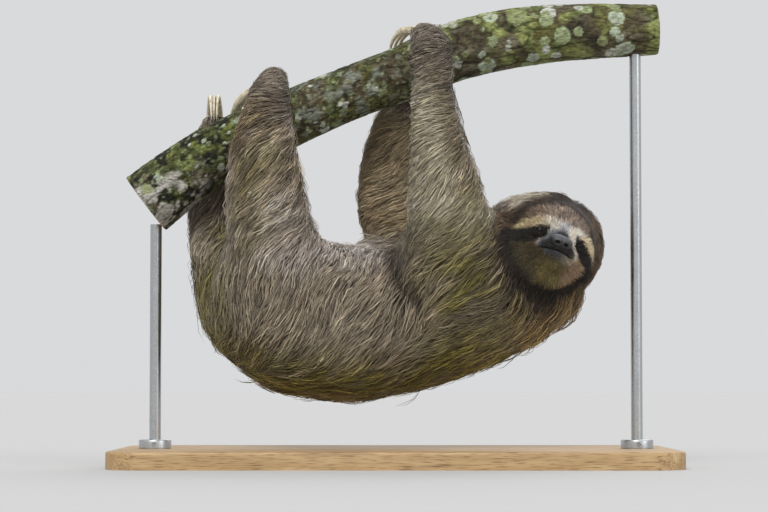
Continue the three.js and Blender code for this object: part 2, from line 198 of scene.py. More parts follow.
def edgesOf(piece):
    return read(piece.data.edges, "vertices", 2, np.int32)


def addAttribute(mesh, name, values):  # a number, vector or colour for each point
    width = 1 if values.ndim == 1 else values.shape[1]
    kind, key = {1: ("FLOAT", "value"), 3: ("FLOAT_VECTOR", "vector"), 4: ("FLOAT_COLOR", "color")}[width]
    mesh.attributes.new(name, kind, "POINT").data.foreach_set(key, values.astype(np.float32).ravel())


def opaque(colours):
    return np.concatenate([colours, np.ones((len(colours), 1))], 1)


def unit(vectors):
    return vectors / np.maximum(np.linalg.norm(vectors, axis=-1, keepdims=True), 1e-9)


def ease(low, high, value):  # smooth step from 0 at low to 1 at high
    t = np.clip((value - low) / (high - low), 0, 1)
    return t * t * (3 - 2 * t)


def bell(*offsets):  # 1 where all offsets are 0, falling to nothing past about 2
    return np.exp(-sum(offset ** 2 for offset in offsets))


def spread(values, edges, times):  # averages a per-vertex field with its neighbours
    values = values.reshape(len(values), -1)
    count = np.bincount(edges.ravel(), minlength=len(values)) + 1.0
    for _ in range(times):
        total = values.copy()
        for column in range(values.shape[1]):
            source = values[:, column]
            total[:, column] += np.bincount(edges[:, 0], source[edges[:, 1]], len(values))
            total[:, column] += np.bincount(edges[:, 1], source[edges[:, 0]], len(values))
        values = total / count[:, None]
    return values


def treeOf(points):
    tree = KDTree(len(points))
    for i, point in enumerate(points):
        tree.insert(point, i)
    tree.balance()
    return tree


def nearest(tree, points):
    return np.fromiter((tree.find(point)[1] for point in points), np.int64, len(points))


def solidTree(node):
    mesh = frame["nodes"][node].data
    return BVHTree.FromPolygons([v.co for v in mesh.vertices], [tuple(p.vertices) for p in mesh.polygons])


def noiseAt(points, size, seed=0.0):  # smooth noise from -1 to 1 with features of a size in mm
    shift = Vector((seed * 7.31, seed * 3.17, seed * 5.53))
    values = (noise.noise(Vector(p) * (1 / (size * mm)) + shift) for p in points)
    return np.fromiter(values, float, len(points))


# ---- the head's own axes, in mm: side (to the animal's left), ahead (out of the face) and up ----

headPose = {"turn": 10, "lift": 3, "roll": 21, "eyeAhead": 43.6, "eyeUp": 3.7}


def middleOf(node):
    low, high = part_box(node)
    return np.array((low + high) / 2)


headTurn = (
    Matrix.Rotation(math.radians(headPose["turn"]), 3, "Z")
    @ Matrix.Rotation(math.radians(-headPose["lift"]), 3, "X")
    @ Matrix.Rotation(math.radians(headPose["roll"]), 3, "Y")
)
headAxes = np.array(headTurn) * np.array([1, -1, 1])
eyePlaces = {"left": middleOf("left_eye"), "right": middleOf("right_eye")}
headMiddle = (eyePlaces["left"] + eyePlaces["right"]) / 2
headMiddle = headMiddle - headAxes @ np.array([0, headPose["eyeAhead"], headPose["eyeUp"]]) * mm


def toHead(points):
    return (points - headMiddle) @ headAxes / mm


def fromHead(points):
    return headMiddle + (np.asarray(points, float) * mm) @ headAxes.T


# ---- skin: the flesh parts fused into one surface and drawn in by the coat's depth ----

partNames = [
    "head", "neck", "trunk", "tail", "left_arm", "right_arm", "left_leg", "right_leg",
    "left_hand", "right_hand", "left_foot", "right_foot",
]
skinShape = {
    "seamFill": 0.7,  # mm that each part swells before the parts are fused
    "coarseVoxel": 4.0,
    "coarseRounding": 26,
    "fineVoxel": 2.35,
    "fineRounding": 7,
    "drawInMoves": 5,  # small moves, so that the creases don't fold over
    "coatDepth": {  # mm from the skin to the tips of the coat
        "head": 6.5, "neck": 11, "trunk": 12.5, "tail": 6.5, "left_arm": 9.5, "right_arm": 9,
        "left_leg": 10.5, "right_leg": 9, "left_hand": 4.2, "right_hand": 3.6, "left_foot": 4.2,
        "right_foot": 3.8,
    },
    "faceDepth": 2.6,
}


def partWeights(points, edges, blurring):
    away = np.empty((len(points), len(partNames)))
    for column, name in enumerate(partNames):
        tree = solidTree(name)
        away[:, column] = [tree.find_nearest(Vector(p))[3] for p in points]
    closest = np.zeros_like(away)
    closest[np.arange(len(points)), away.argmin(1)] = 1
    return spread(closest, edges, blurring)


def discRadius(local):  # mm from the middle of the face's round disc, which spreads on to the right shoulder
    side, ahead, height = local.T
    across, rise = side + 0.2 * ahead - 4, height + 0.14 * ahead - 4
    return np.hypot(across * (1 - 0.05 * ease(0, -10, across)), rise * (1 - 0.09 * ease(0, -10, rise)))


def faceMask(local):  # 1 inside the disc of short hair, 0 in the hood
    return (1 - ease(43, 51, discRadius(local))) * ease(8, 20, local[:, 1])


def coatDepthAt(points, weights):
    depth = weights @ np.array([skinShape["coatDepth"][name] for name in partNames])
    face = faceMask(toHead(points)) * np.clip(weights[:, 0] + weights[:, 1], 0, 1)
    return (depth * (1 - face) + skinShape["faceDepth"] * face) * mm


skin = copyOfNodes(partNames, "skin")
applyModifier(skin, "DISPLACE", strength=skinShape["seamFill"] * mm, mid_level=0)
remesh(skin, skinShape["coarseVoxel"], skinShape["coarseRounding"])
skinWeights = partWeights(pointsOf(skin), edgesOf(skin), 6)
drawIn = coatDepthAt(pointsOf(skin), skinWeights)
for _ in range(skinShape["drawInMoves"]):
    setPoints(skin, pointsOf(skin) - normalsOf(skin) * drawIn[:, None] / skinShape["drawInMoves"])
    applyModifier(skin, "SMOOTH", factor=0.5, iterations=2)
coarsePoints = pointsOf(skin)
print("skin drawn in:", len(coarsePoints), "points")

# Flesh of the face, as balls fused into the skin: place (side, ahead, up) and radii in mm.
faceFlesh = [
    ((0, 50, -7), (15.5, 13, 10.5)),  # muzzle
    ((0, 47, 4), (9, 9, 11)),  # bridge of the nose
    ((13, 43, -12), (14, 11, 11)),  # lip pads
    ((-13, 43, -12), (14, 11, 11)),
    ((0, 42, -22), (17, 12, 9)),  # chin
    ((22, 36, 13), (13, 8.5, 5.5)),  # brows
    ((-22, 36, 13), (13, 8.5, 5.5)),
    ((29, 30, -16), (14, 12, 15)),  # cheeks
    ((-29, 30, -16), (14, 12, 15)),
]
flesh = []
for place, radii in faceFlesh:
    ball = newBall(32, 20)
    setPoints(ball, fromHead(pointsOf(ball) * np.array(radii) + np.array(place)))
    turnOutwards(ball)
    flesh.append(ball)
activate(skin, *flesh)
bpy.ops.object.join()
remesh(skin, skinShape["fineVoxel"], skinShape["fineRounding"])
print("skin fused with the face:", len(skin.data.polygons), "faces")

# ---- face: finer mesh, then eye openings, mouth and folds ----

faceShape = {
    "lidReach": 1.0,  # mm from the eyeball to the lids' outer side
    "openingHalfWidth": 4.7,
    "openingHalfHeight": 2.75,
    "openingFloor": 4.5,  # mm from the eyeball's front back to the skin behind it
    "mouthHalfWidth": 16.5,
    "mouthDepth": 2.0,
    "lipSwell": 0.55,
    "grooveDepth": 0.6,
    "eyeFoldDepth": 0.35,
}
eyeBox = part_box("left_eye")
eyeRadius = max((eyeBox[1] - eyeBox[0])) / 2 / mm


def refine(piece, test):  # subdivides the faces whose middles pass the test
    pick(piece, "FACE", test(toHead(read(piece.data.polygons, "center", 3).astype(float))))
    bpy.ops.mesh.subdivide(number_cuts=1, smoothness=0.4)
    setMode("OBJECT")


def eyeFrame(side):  # the eyeball's middle and its axes along the slit, out and up, in the head's axes
    sign = 1 if side == "left" else -1
    middle = toHead(eyePlaces[side][None])[0]
    out = unit(np.array([sign * 0.36, 0.92, 0.05]))
    along = unit(np.cross(out, np.array([0.0, 0.0, 1.0]))) * -1
    along = unit(along + np.array([0, 0, -0.22 * sign]))  # the slit's outer corner lies lower
    along = unit(along - out * (along @ out))
    return middle, along, out, np.cross(along, out) * (1 if np.cross(along, out)[2] > 0 else -1)


def atEyesOrMouth(local):
    near = np.zeros(len(local), bool)
    for side in ("left", "right"):
        near |= np.linalg.norm(local - eyeFrame(side)[0], axis=1) < eyeRadius + 4.5
    near |= (abs(local[:, 0]) < 18) & (abs(local[:, 2] + 11.5) < 3.5) & (local[:, 1] > 42)
    return near


refine(skin, lambda local: (local[:, 1] > 22) & (np.hypot(local[:, 0], local[:, 2] + 4) < 38))
refine(skin, atEyesOrMouth)


def mouthHeight(side):  # the mouth line: a shallow smile
    return -10.9 - 0.9 * (abs(side) / faceShape["mouthHalfWidth"]) ** 2


def sculptEyes(local):
    for side in ("left", "right"):
        middle, along, out, up = eyeFrame(side)
        offset = local - middle
        x, y, depth = offset @ along, offset @ up, offset @ out
        away = np.hypot(x, y)
        front = (depth > -4) & (away < 12)
        opening = (x / faceShape["openingHalfWidth"]) ** 2 + (y / faceShape["openingHalfHeight"]) ** 2
        onLid = np.sqrt(np.maximum((eyeRadius + faceShape["lidReach"]) ** 2 - away ** 2, 0))
        blend = (1 - ease(5.0, 10.5, away)) * front
        wanted = onLid * (opening > 1) + (eyeRadius - faceShape["openingFloor"]) * (opening <= 1)
        local = local + (out * ((wanted - depth) * blend)[:, None])
    return local


def sculptFace(local):
    side, ahead, height = local.T
    halfWidth = faceShape["mouthHalfWidth"]
    line = height - mouthHeight(side)
    within = 1 - ease(halfWidth - 2, halfWidth + 1.5, abs(side))
    lips = (bell((line - 2.1) / 1.3) + 0.8 * bell((line + 2.2) / 1.5)) * within
    push = -faceShape["mouthDepth"] * (bell(line / 0.8) * within) + faceShape["lipSwell"] * lips
    groove = bell(side / 0.7) * ease(-11, -9.5, height) * (1 - ease(-7, -5, height))
    push = push - faceShape["grooveDepth"] * groove
    fromEye = np.hypot(side - np.sign(side) * 20.6, height - 3.2)
    push = push - faceShape["eyeFoldDepth"] * (bell((fromEye - 8.6) / 1.2) * (height < 2))
    return local + np.stack([0 * side, push * ease(30, 40, ahead), 0 * side], 1)


setPoints(skin, fromHead(sculptFace(sculptEyes(toHead(pointsOf(skin))))))
activate(skin)
bpy.ops.object.shade_smooth()
print("face sculpted:", len(skin.data.polygons), "faces")

# ---- eyes: a glassy ball each, with iris and pupil painted round its own axis, and a dark rim of lid ----

eyeLook = {"cornea": 0.5, "rimThickness": 0.62}  # mm

# Cornea over a brown-black iris: wet and glassy, so the gloss comes from a clear coat.
eyeMaterial, tree = newMaterial("wetCornea")
place = addNode(tree, "TexCoord").outputs["Object"]
fromAxis = addNode(tree, "Attribute", attribute_name="fromAxis").outputs["Fac"]
streaks = addNode(tree, "TexNoise", {"Vector": place, "Scale": 900.0, "Detail": 3.0})
streaky = addNode(tree, "Math", {0: streaks, 1: 0.08, 2: fromAxis}, operation="MULTIPLY_ADD")
irisStops = [  # pupil, iris, its dark edge, and the eye round it
    (0.0, "#030202"), (0.4, "#050403"), (0.46, "#140c07"), (0.58, "#1d120a"), (0.66, "#080504"),
    (0.72, "#181210"), (1.0, "#1f1815"),
]
irisColour = addNode(tree, "ValToRGB", {"Fac": streaky}, irisStops)
gloss = {"Roughness": 0.42, "IOR": 1.22, "Coat Weight": 0.06, "Coat Roughness": 0.12}
shader = addNode(tree, "BsdfPrincipled", {"Base Color": irisColour} | gloss)
addNode(tree, "OutputMaterial", {"Surface": shader})

# Lid skin: bare, dark and slightly moist at the edge.
lidMaterial, tree = newMaterial("lidSkin")
place = addNode(tree, "TexCoord").outputs["Object"]
pores = addNode(tree, "TexNoise", {"Vector": place, "Scale": 1400.0, "Detail": 4.0})
lidColour = addNode(tree, "ValToRGB", {"Fac": pores}, [(0.3, "#0d0908"), (0.7, "#1e1512")])
bump = addNode(tree, "Bump", {"Height": pores, "Strength": 0.4, "Distance": 0.0003})
moist = {"Roughness": 0.42, "Specular IOR Level": 0.45}
shader = addNode(tree, "BsdfPrincipled", {"Base Color": lidColour, "Normal": bump} | moist)
addNode(tree, "OutputMaterial", {"Surface": shader})

for side in ("left", "right"):
    middle, along, out, up = eyeFrame(side)
    axes = np.stack([along, up, out], 1)
    ball = named(newBall(64, 48), "eyeball_" + side)
    raw = pointsOf(ball)
    axial = np.arccos(np.clip(raw[:, 2], -1, 1))
    bulge = 1 + eyeLook["cornea"] / eyeRadius * (1 - ease(0.35, 0.75, axial))
    setPoints(ball, fromHead(middle + (raw * bulge[:, None] * eyeRadius) @ axes.T))
    addAttribute(ball.data, "fromAxis", np.sin(np.minimum(axial, math.pi / 2)))
    turnOutwards(ball)
    bpy.ops.object.shade_smooth()
    finishPiece(ball, eyeMaterial, [side + "_eye"])

    bpy.ops.mesh.primitive_torus_add(major_segments=72, minor_segments=12, major_radius=1, minor_radius=0.1)
    rim = named(bpy.context.object, "lid_rim_" + side)
    raw = pointsOf(rim)
    angle = np.arctan2(raw[:, 1], raw[:, 0])
    inward = (np.hypot(raw[:, 0], raw[:, 1]) - 1) / 0.1
    outwards = raw[:, 2] / 0.1
    x = np.cos(angle) * (faceShape["openingHalfWidth"] + 0.1)
    y = np.sin(angle) * (faceShape["openingHalfHeight"] + 0.1) * (0.86 + 0.14 * np.abs(np.sin(angle)))
    thick = eyeLook["rimThickness"] * (0.75 + 0.55 * np.maximum(np.sin(angle), 0))  # the upper lid is heavier
    away = unit(np.stack([x, y], 1)) * (np.hypot(x, y) + inward * thick)[:, None]
    depth = np.sqrt(np.maximum((eyeRadius + 0.25) ** 2 - x ** 2 - y ** 2, 0)) + outwards * thick
    setPoints(rim, fromHead(middle + np.stack([away[:, 0], away[:, 1], depth], 1) @ axes.T))
    turnOutwards(rim)
    bpy.ops.object.shade_smooth()
    finishPiece(rim, lidMaterial)
print("eyes placed")

# ---- nose: the bare pad with its two nostrils ----

noseShape = {  # mm
    "halfWidth": 12.2,
    "halfHeight": 7.3,
    "halfDepth": 5.2,
    "squareness": 2.5,
    "sunk": 1.5,
    "nostrilSide": 4.6,
    "nostrilUp": -2.3,
    "nostrilRadius": 1.75,
    "nostrilDepth": 3.6,
    "nostrilRim": 0.12,
    "grooveDepth": 0.8,
}
nosePad = named(newBall(96, 64), "nose_pad")
side, height, ahead = pointsOf(nosePad).T  # poles ahead and behind
power = noseShape["squareness"]
swell = (np.abs(side) ** power + np.abs(height) ** power) ** (1 / power)
square = np.hypot(side, height) / np.maximum(swell, 1e-6)
side, height = side * square, height * square
front = ahead > 0
side = side * noseShape["halfWidth"] * (1 + 0.14 * height - 0.08 * height ** 2)  # wider above than below
height = height * noseShape["halfHeight"]
ahead = ahead * noseShape["halfDepth"]
ahead = ahead - (0.02 * side ** 2 + 0.16 * np.maximum(height, 0) ** 1.3 + noseShape["sunk"])
for sign in (-1, 1):
    across = sign * (side - sign * noseShape["nostrilSide"])
    rise = height - noseShape["nostrilUp"] + 0.12 * np.maximum(across, 0) ** 1.6
    fromHole = np.hypot(across * 0.8, rise * 1.15)
    hole = noseShape["nostrilDepth"] * np.exp(-((fromHole / noseShape["nostrilRadius"]) ** 4))
    ahead = ahead - (hole - noseShape["nostrilRim"] * bell((fromHole - 2.8) / 0.9)) * front
ahead = ahead - noseShape["grooveDepth"] * bell(side / 0.7) * front * ease(5, 0, height)
fromNostril = np.hypot(np.abs(side) - noseShape["nostrilSide"], height - noseShape["nostrilUp"])
# painted sheen: the pad is paler towards its top and sides; painted shade darkens it round the nostrils
padSheenAndShade = 0.5 + 0.5 * np.tanh((height - 1.2) / 2.2) + 0.12 * (np.abs(side) / noseShape["halfWidth"]) ** 2
addAttribute(nosePad.data, "padSheenAndShade", padSheenAndShade * (1 - 0.5 * bell(fromNostril / 3)))
setPoints(nosePad, fromHead(np.stack([side, ahead, height], 1) + toHead(middleOf("nose")[None])[0]))
turnOutwards(nosePad)
bpy.ops.object.shade_smooth()

# Rhinarium leather: pebbled cells about 0.8 mm wide, slate-black, with a damp gloss, painted sheen on its top
# and painted shade round the nostrils.
noseMaterial, tree = newMaterial("noseLeather")
place = addNode(tree, "TexCoord").outputs["Object"]
pebbles = addNode(tree, "TexVoronoi", {"Vector": place, "Scale": 1250.0})
patches = addNode(tree, "TexNoise", {"Vector": place, "Scale": 260.0, "Detail": 4.0})
paler = addNode(tree, "Attribute", attribute_name="padSheenAndShade").outputs["Fac"]
mottled = addNode(tree, "Math", {0: patches, 1: 0.3, 2: -0.15}, operation="MULTIPLY_ADD")
paler = addNode(tree, "Math", {0: paler, 1: mottled}, operation="ADD")
greys = [(0.0, "#181817"), (0.3, "#262626"), (0.65, "#313336"), (1.0, "#4d4f54")]
padColour = addNode(tree, "ValToRGB", {"Fac": paler}, greys)
bump = addNode(tree, "Bump", {"Height": pebbles, "Strength": 0.4, "Distance": 0.0004})
damp = {"Roughness": 0.4, "Specular IOR Level": 0.5}
shader = addNode(tree, "BsdfPrincipled", {"Base Color": padColour, "Normal": bump} | damp)
addNode(tree, "OutputMaterial", {"Surface": shader})
finishPiece(nosePad, noseMaterial, ["nose"])
print("nose placed")

# ---- claws ----

clawShape = {"voxel": 0.62, "rounding": 5}

# Horn: cream keratin, fine ribs along its length, stained brown in blotches, satin.
hornMaterial, tree = newMaterial("clawHorn")
place = addNode(tree, "TexCoord").outputs["Object"]
ribMap = addNode(tree, "Attribute", attribute_name="clawMap").outputs["Vector"]
ribs = addNode(tree, "TexNoise", {"Vector": ribMap, "Scale": 5.0, "Detail": 5.0})
blotches = addNode(tree, "TexNoise", {"Vector": place, "Scale": 160.0, "Detail": 5.0})
creams = [(0.25, "#95866a"), (0.42, "#cfc2a2"), (0.6, "#e2d9c0"), (0.8, "#f0ead9")]
horn = addNode(tree, "ValToRGB", {"Fac": ribs}, creams)
stain = addNode(tree, "ValToRGB", {"Fac": blotches}, [(0.35, "#8a7a5e"), (0.6, "#ffffff")])
stained = addNode(tree, "Mix", {0: 0.5, 6: horn, 7: stain}, data_type="RGBA", blend_type="MULTIPLY")
bump = addNode(tree, "Bump", {"Height": ribs, "Strength": 0.35, "Distance": 0.0004})
satin = {"Roughness": 0.42, "Specular IOR Level": 0.5, "Subsurface Weight": 0.06, "Subsurface Scale": 0.002}
shader = addNode(tree, "BsdfPrincipled", {"Base Color": stained.outputs[2], "Normal": bump} | satin)
addNode(tree, "OutputMaterial", {"Surface": shader})

for side in ("left", "right"):
    for limb in ("hand", "foot"):
        for number in (1, 2, 3):
            node = f"{side}_{limb}_claw_{number}"
            claw = copyOfNodes([node], f"horn_{side}_{limb}_{number}")
            remesh(claw, clawShape["voxel"], clawShape["rounding"])
            centred = pointsOf(claw)
            centred = centred - centred.mean(0)
            axes = np.linalg.svd(centred, full_matrices=False)[2]
            length, bend, across = (centred @ axis for axis in axes)
            middleLine = np.polyfit(length, bend, 4)
            bend = bend - np.polyval(middleLine, length)
            addAttribute(claw.data, "clawMap", np.stack([length * 18, bend * 420, across * 420], 1))
            activate(claw)
            bpy.ops.object.shade_smooth()
            finishPiece(claw, hornMaterial, [node])
print("claws placed")

# ---- fields over the skin: the part, and the lie, length, spacing, width and depth of the hair ----

skinPoints = pointsOf(skin)
skinNormals = normalsOf(skin)
skinEdges = edgesOf(skin)
skinTree = treeOf(skinPoints)
weights = spread(skinWeights[nearest(treeOf(coarsePoints), skinPoints)], skinEdges, 4)
weights = weights / weights.sum(1, keepdims=True)
part = {name: weights[:, i] for i, name in enumerate(partNames)}
local = toHead(skinPoints)
face = faceMask(local) * ease(0.25, 0.7, part["head"] + part["neck"])


def lieOfHair(points, normals):
    x, y, z = (points / mm).T
    still = 0 * x
    outward = np.tanh(y / 14)
    upFacing, downFacing = np.maximum(normals[:, 2], 0), np.maximum(-normals[:, 2], 0)
    chest, rump = ease(-10, 90, x), 1 - ease(-175, -110, x)
    lowBack = 1 - ease(80, 150, z)
    tailCorner = bell((x + 165) / 40, (z - 100) / 40)
    wrap = np.maximum(-0.8 * normals[:, 0], -0.2 * normals[:, 0])  # hair across a limb wraps round it
    armRise = ease(270, 400, z)
    legRise = ease(330, 385, z)
    legTurn = ease(-170, -110, x) * (1 - legRise)
    lies = {
        "neck": (-0.5, 0.1 * outward, -0.85),
        "trunk": (
            -0.5 - 0.28 * chest + 0.3 * rump - 0.4 * downFacing - 0.35 * lowBack * (1 - rump),
            0.9 * outward * upFacing - 0.8 * outward * tailCorner,
            -0.9 + 0.3 * chest + 0.35 * downFacing + 0.3 * lowBack * (1 - rump),
        ),
        "tail": (-0.35, 0, -0.8),
        "left_arm": (-0.72 - 0.24 * armRise, wrap, -0.7 + 0.42 * armRise),
        "right_arm": (-0.92, 0.5 * wrap, -0.4),
        "left_leg": (
            -0.45 - 0.4 * legTurn - 0.45 * legRise,
            0.8 * wrap,
            -0.85 + 0.3 * legTurn + 0.6 * legRise,
        ),
        "right_leg": (-0.3, 0, -0.95),
        "left_hand": (-0.97, 0, -0.2),
        "right_hand": (-0.5, 0, -0.8),
        "left_foot": (-0.97, 0, -0.2),
        "right_foot": (0.1, 0, -1),
    }
    side, ahead, height = toHead(points).T
    fromNose = np.stack([side, 0.25 * np.hypot(side, height + 4), height + 5], 1)
    fromNose[:, 2] = np.where(height > 6, height + 1, fromNose[:, 2])
    for sign in (-1, 1):  # parts round each eye
        apart = np.stack([side - sign * 20.6, still, height - 3.2], 1)
        near = bell(np.linalg.norm(apart, axis=1) / 9) * (ahead > 20)
        fromNose = fromNose + apart * (near * 2.2)[:, None]
    # The hood's hair leaves a parting on the crown and runs back and down round both sides of the face.
    away = np.tanh((side - 12) / 13)
    hoodLie = [away * (height + 30) / 60, -0.5 - 0.3 * (1 - np.abs(away)), -np.abs(side - 12) / 45 - 0.25]
    headLie = unit(fromNose) * face[:, None] + unit(np.stack(hoodLie, 1)) * (1 - face[:, None])
    total = part["head"][:, None] * (headLie @ headAxes.T)
    for name, parts in lies.items():
        total = total + part[name][:, None] * unit(np.stack([still + value for value in parts], 1))
    return total


def onSkin(vectors):
    return unit(vectors - skinNormals * (vectors * skinNormals).sum(1, keepdims=True))


lie = onSkin(lieOfHair(skinPoints, skinNormals))
lie = onSkin(spread(lie, skinEdges, 8))
across = np.cross(skinNormals, lie)
swirl = noiseAt(skinPoints, 46, 1) * 0.4 + noiseAt(skinPoints, 19, 2) * 0.3
swirl = swirl + noiseAt(skinPoints, 7.5, 6) * 0.2
lowCoat = part["trunk"] * (1 - ease(70, 150, skinPoints[:, 2] / mm))
swirl = swirl * (1 - 0.75 * face) * (1.2 + 0.7 * lowCoat)
lie = unit(lie * np.cos(swirl)[:, None] + across * np.sin(swirl)[:, None])

hairShape = {  # length, root spacing and width of a lock, in mm
    "head": (21, 1.48, 0.78),
    "neck": (33, 2.0, 0.96),
    "trunk": (37, 2.12, 0.9),
    "tail": (22, 1.9, 1.0),
    "left_arm": (25, 1.66, 0.78),
    "right_arm": (21, 1.62, 0.78),
    "left_leg": (28, 1.7, 0.8),
    "right_leg": (28, 1.9, 0.9),
    "left_hand": (11, 1.3, 0.74),
    "right_hand": (11, 1.5, 0.9),
    "left_foot": (11, 1.35, 0.74),
    "right_foot": (11, 1.5, 0.9),
}
faceHair = (5.0, 0.97, 0.56)
table = weights @ np.array([hairShape[name] for name in partNames])
hairLength, hairSpacing, hairWidth = (table * (1 - face[:, None]) + np.array(faceHair) * face[:, None]).T
muzzle = bell(local[:, 0] / 22, (local[:, 2] + 6) / 17) * face
onTop = ease(0.3, 0.9, skinNormals[:, 2]) * part["trunk"]  # short hair on the upturned belly
hairLength = hairLength * (1 - 0.5 * muzzle) * (1 - 0.4 * onTop)
coatDepth = coatDepthAt(skinPoints, weights) / mm * (1 - 0.45 * muzzle) * (1 - 0.35 * onTop)
print("fields laid over the skin")

# ---- markings: one function colours the skin and every tuft ----

coatColours = {
    "dark": "#54493a", "mid": "#8f8371", "light": "#b8ad9b", "umber": "#6b543c", "armpit": "#33291f",
    "algae": "#6e6726", "oliveGold": "#85773a", "belly": "#cfc4bd", "wrist": "#695f55",
    "armBeige": "#ccc3ad", "farArm": "#a8936c", "legEdge": "#a99c92", "legBrown": "#786357",
    "legHollow": "#5a4d2f", "legGreen": "#948b5c", "straw": "#7d6b3f", "fringe": "#917a50",
    "throat": "#1f1812", "crown": "#332922", "crownEdge": "#75604a", "hoodBrown": "#65513c",
    "hoodGrey": "#b5ab9b", "forehead": "#8d7d70", "band": "#c2b08a", "bandPale": "#d8d0c2",
    "bandLit": "#fff4e2", "bandTan": "#ffe2b4", "bridge": "#cfced0", "muzzleSide": "#c5c0b4",
    "slate": "#2a2b2b", "slateLight": "#71747d", "stripe": "#1f1a14", "cheek": "#4b412b",
    "cheekRed": "#5c4632", "cheekDark": "#2f2a1c", "chin": "#75683f", "chinPink": "#b3977a",
    "chinPatch": "#b8ae97",
}
bodyPaths = {  # chains of x, z and radius in mm on the near side
    "armpitFold": [(-6, 226, 3), (3, 219, 9), (13, 209, 15), (24, 195, 16), (36, 177, 10)],
    "armRoot": [(17, 240, 3), (13, 222, 9)],
    "neckCrease": [
        (94, 268, 3.5), (103, 250, 4.5), (108, 234, 3.5), (111, 219, 2.5), (116, 205, 2.5),
        (128, 192, 4), (139, 179, 5), (149, 173, 8), (160, 168, 8), (168, 161, 5),
    ],
    "bellyEdge": [(-79, 238, 4), (-44, 235, 5), (-27, 223, 5), (-10, 216, 3)],
    "calfEdge": [(-164, 345, 1.5), (-171, 300, 2), (-170, 255, 1.5)],
}
facePaths = {  # chains of side, height and radius in mm in the head's axes
    "band": [(0, 13, 5.2), (13, 14.6, 5.4), (25, 12.4, 5.3), (35, 6, 4.8), (41, -2, 3.4), (43, -8, 1.5)],
    "bandLit": [(8, 12.5, 6), (16, 13.5, 6.3), (26, 11, 6), (35, 4.5, 5.2), (41, -4, 4)],
    "bandTan": [(24, 10.5, 5.5), (33, 5, 5.5), (40, -4, 4.5), (43, -11, 2.5)],
    "bandInner": [(9, 12, 5), (14.5, 2, 4.8), (17, -9, 3.6)],
    "bridge": [(0, 14, 5.5), (0, 8, 8.5), (3, 3, 9)],
    "muzzleSide": [(8, 12, 4), (14.5, 1, 4), (17.5, -8, 3)],
    "muzzleRight": [(-17.5, -9, 2.5), (-14, -3, 4), (-9.5, 3, 3.5), (-4, 6, 3)],
    "aboveNose": [(0, 9.5, 3), (0, 6, 6.5)],
    "nose": [(0, 1.5, 7), (0, -3, 9.5), (6, -6.5, 8), (12.5, -8.5, 5.5)],
    "lowerLip": [(-12, -14, 1.5), (0, -14.8, 2.6), (9, -14.5, 2)],
    "mouth": [(0, -10.9, 0.9), (12, -11.3, 0.9), (17, -11.9, 0.7)],
    "stripeLeft": [
        (14.5, 8.5, 1.6), (20.6, 3.0, 6.2), (29, -3, 6.6), (38, -9.5, 6.8), (42, -18, 6), (41, -28, 5),
    ],
    "stripeRight": [(14.5, 8.5, 1.6), (20.6, 3.0, 6.2), (29, -3, 6.8), (40, -8.5, 7.2), (51, -14, 6.5)],
}


def onPath(side, height, path, soft):  # 1 on a chain of discs, easing to 0 outside it over a soft edge in mm
    best = np.full(len(side), -9.0)
    for (s0, h0, r0), (s1, h1, r1) in zip(path[:-1], path[1:]):
        t = ((side - s0) * (s1 - s0) + (height - h0) * (h1 - h0)) / ((s1 - s0) ** 2 + (h1 - h0) ** 2)
        t = np.clip(t, 0, 1)
        away = np.hypot(side - s0 - t * (s1 - s0), height - h0 - t * (h1 - h0))
        best = np.maximum(best, (r0 + t * (r1 - r0) - away) / soft)
    return ease(-0.5, 0.5, best)


def hollowAt(points):  # 1 in the deep folds: the armpit, and the crease between shoulder and throat
    x, _, z = (points / mm).T
    armpit = onPath(x, z, bodyPaths["armpitFold"], 8.0)
    armRoot = 0.8 * onPath(x, z, bodyPaths["armRoot"], 7.0)
    return np.maximum.reduce([armpit, armRoot, onPath(x, z, bodyPaths["neckCrease"], 5.5)])


def brush(result, palette):  # lays the palette's colours over the result, each where its mask says
    colours = {key: np.array(linear(code)) for key, code in palette.items()}

    def lay(mask, key, strength=1.0):
        m = np.clip(mask * strength, 0, 1)[:, None]
        result[:] = result * (1 - m) + colours[key] * m

    return lay


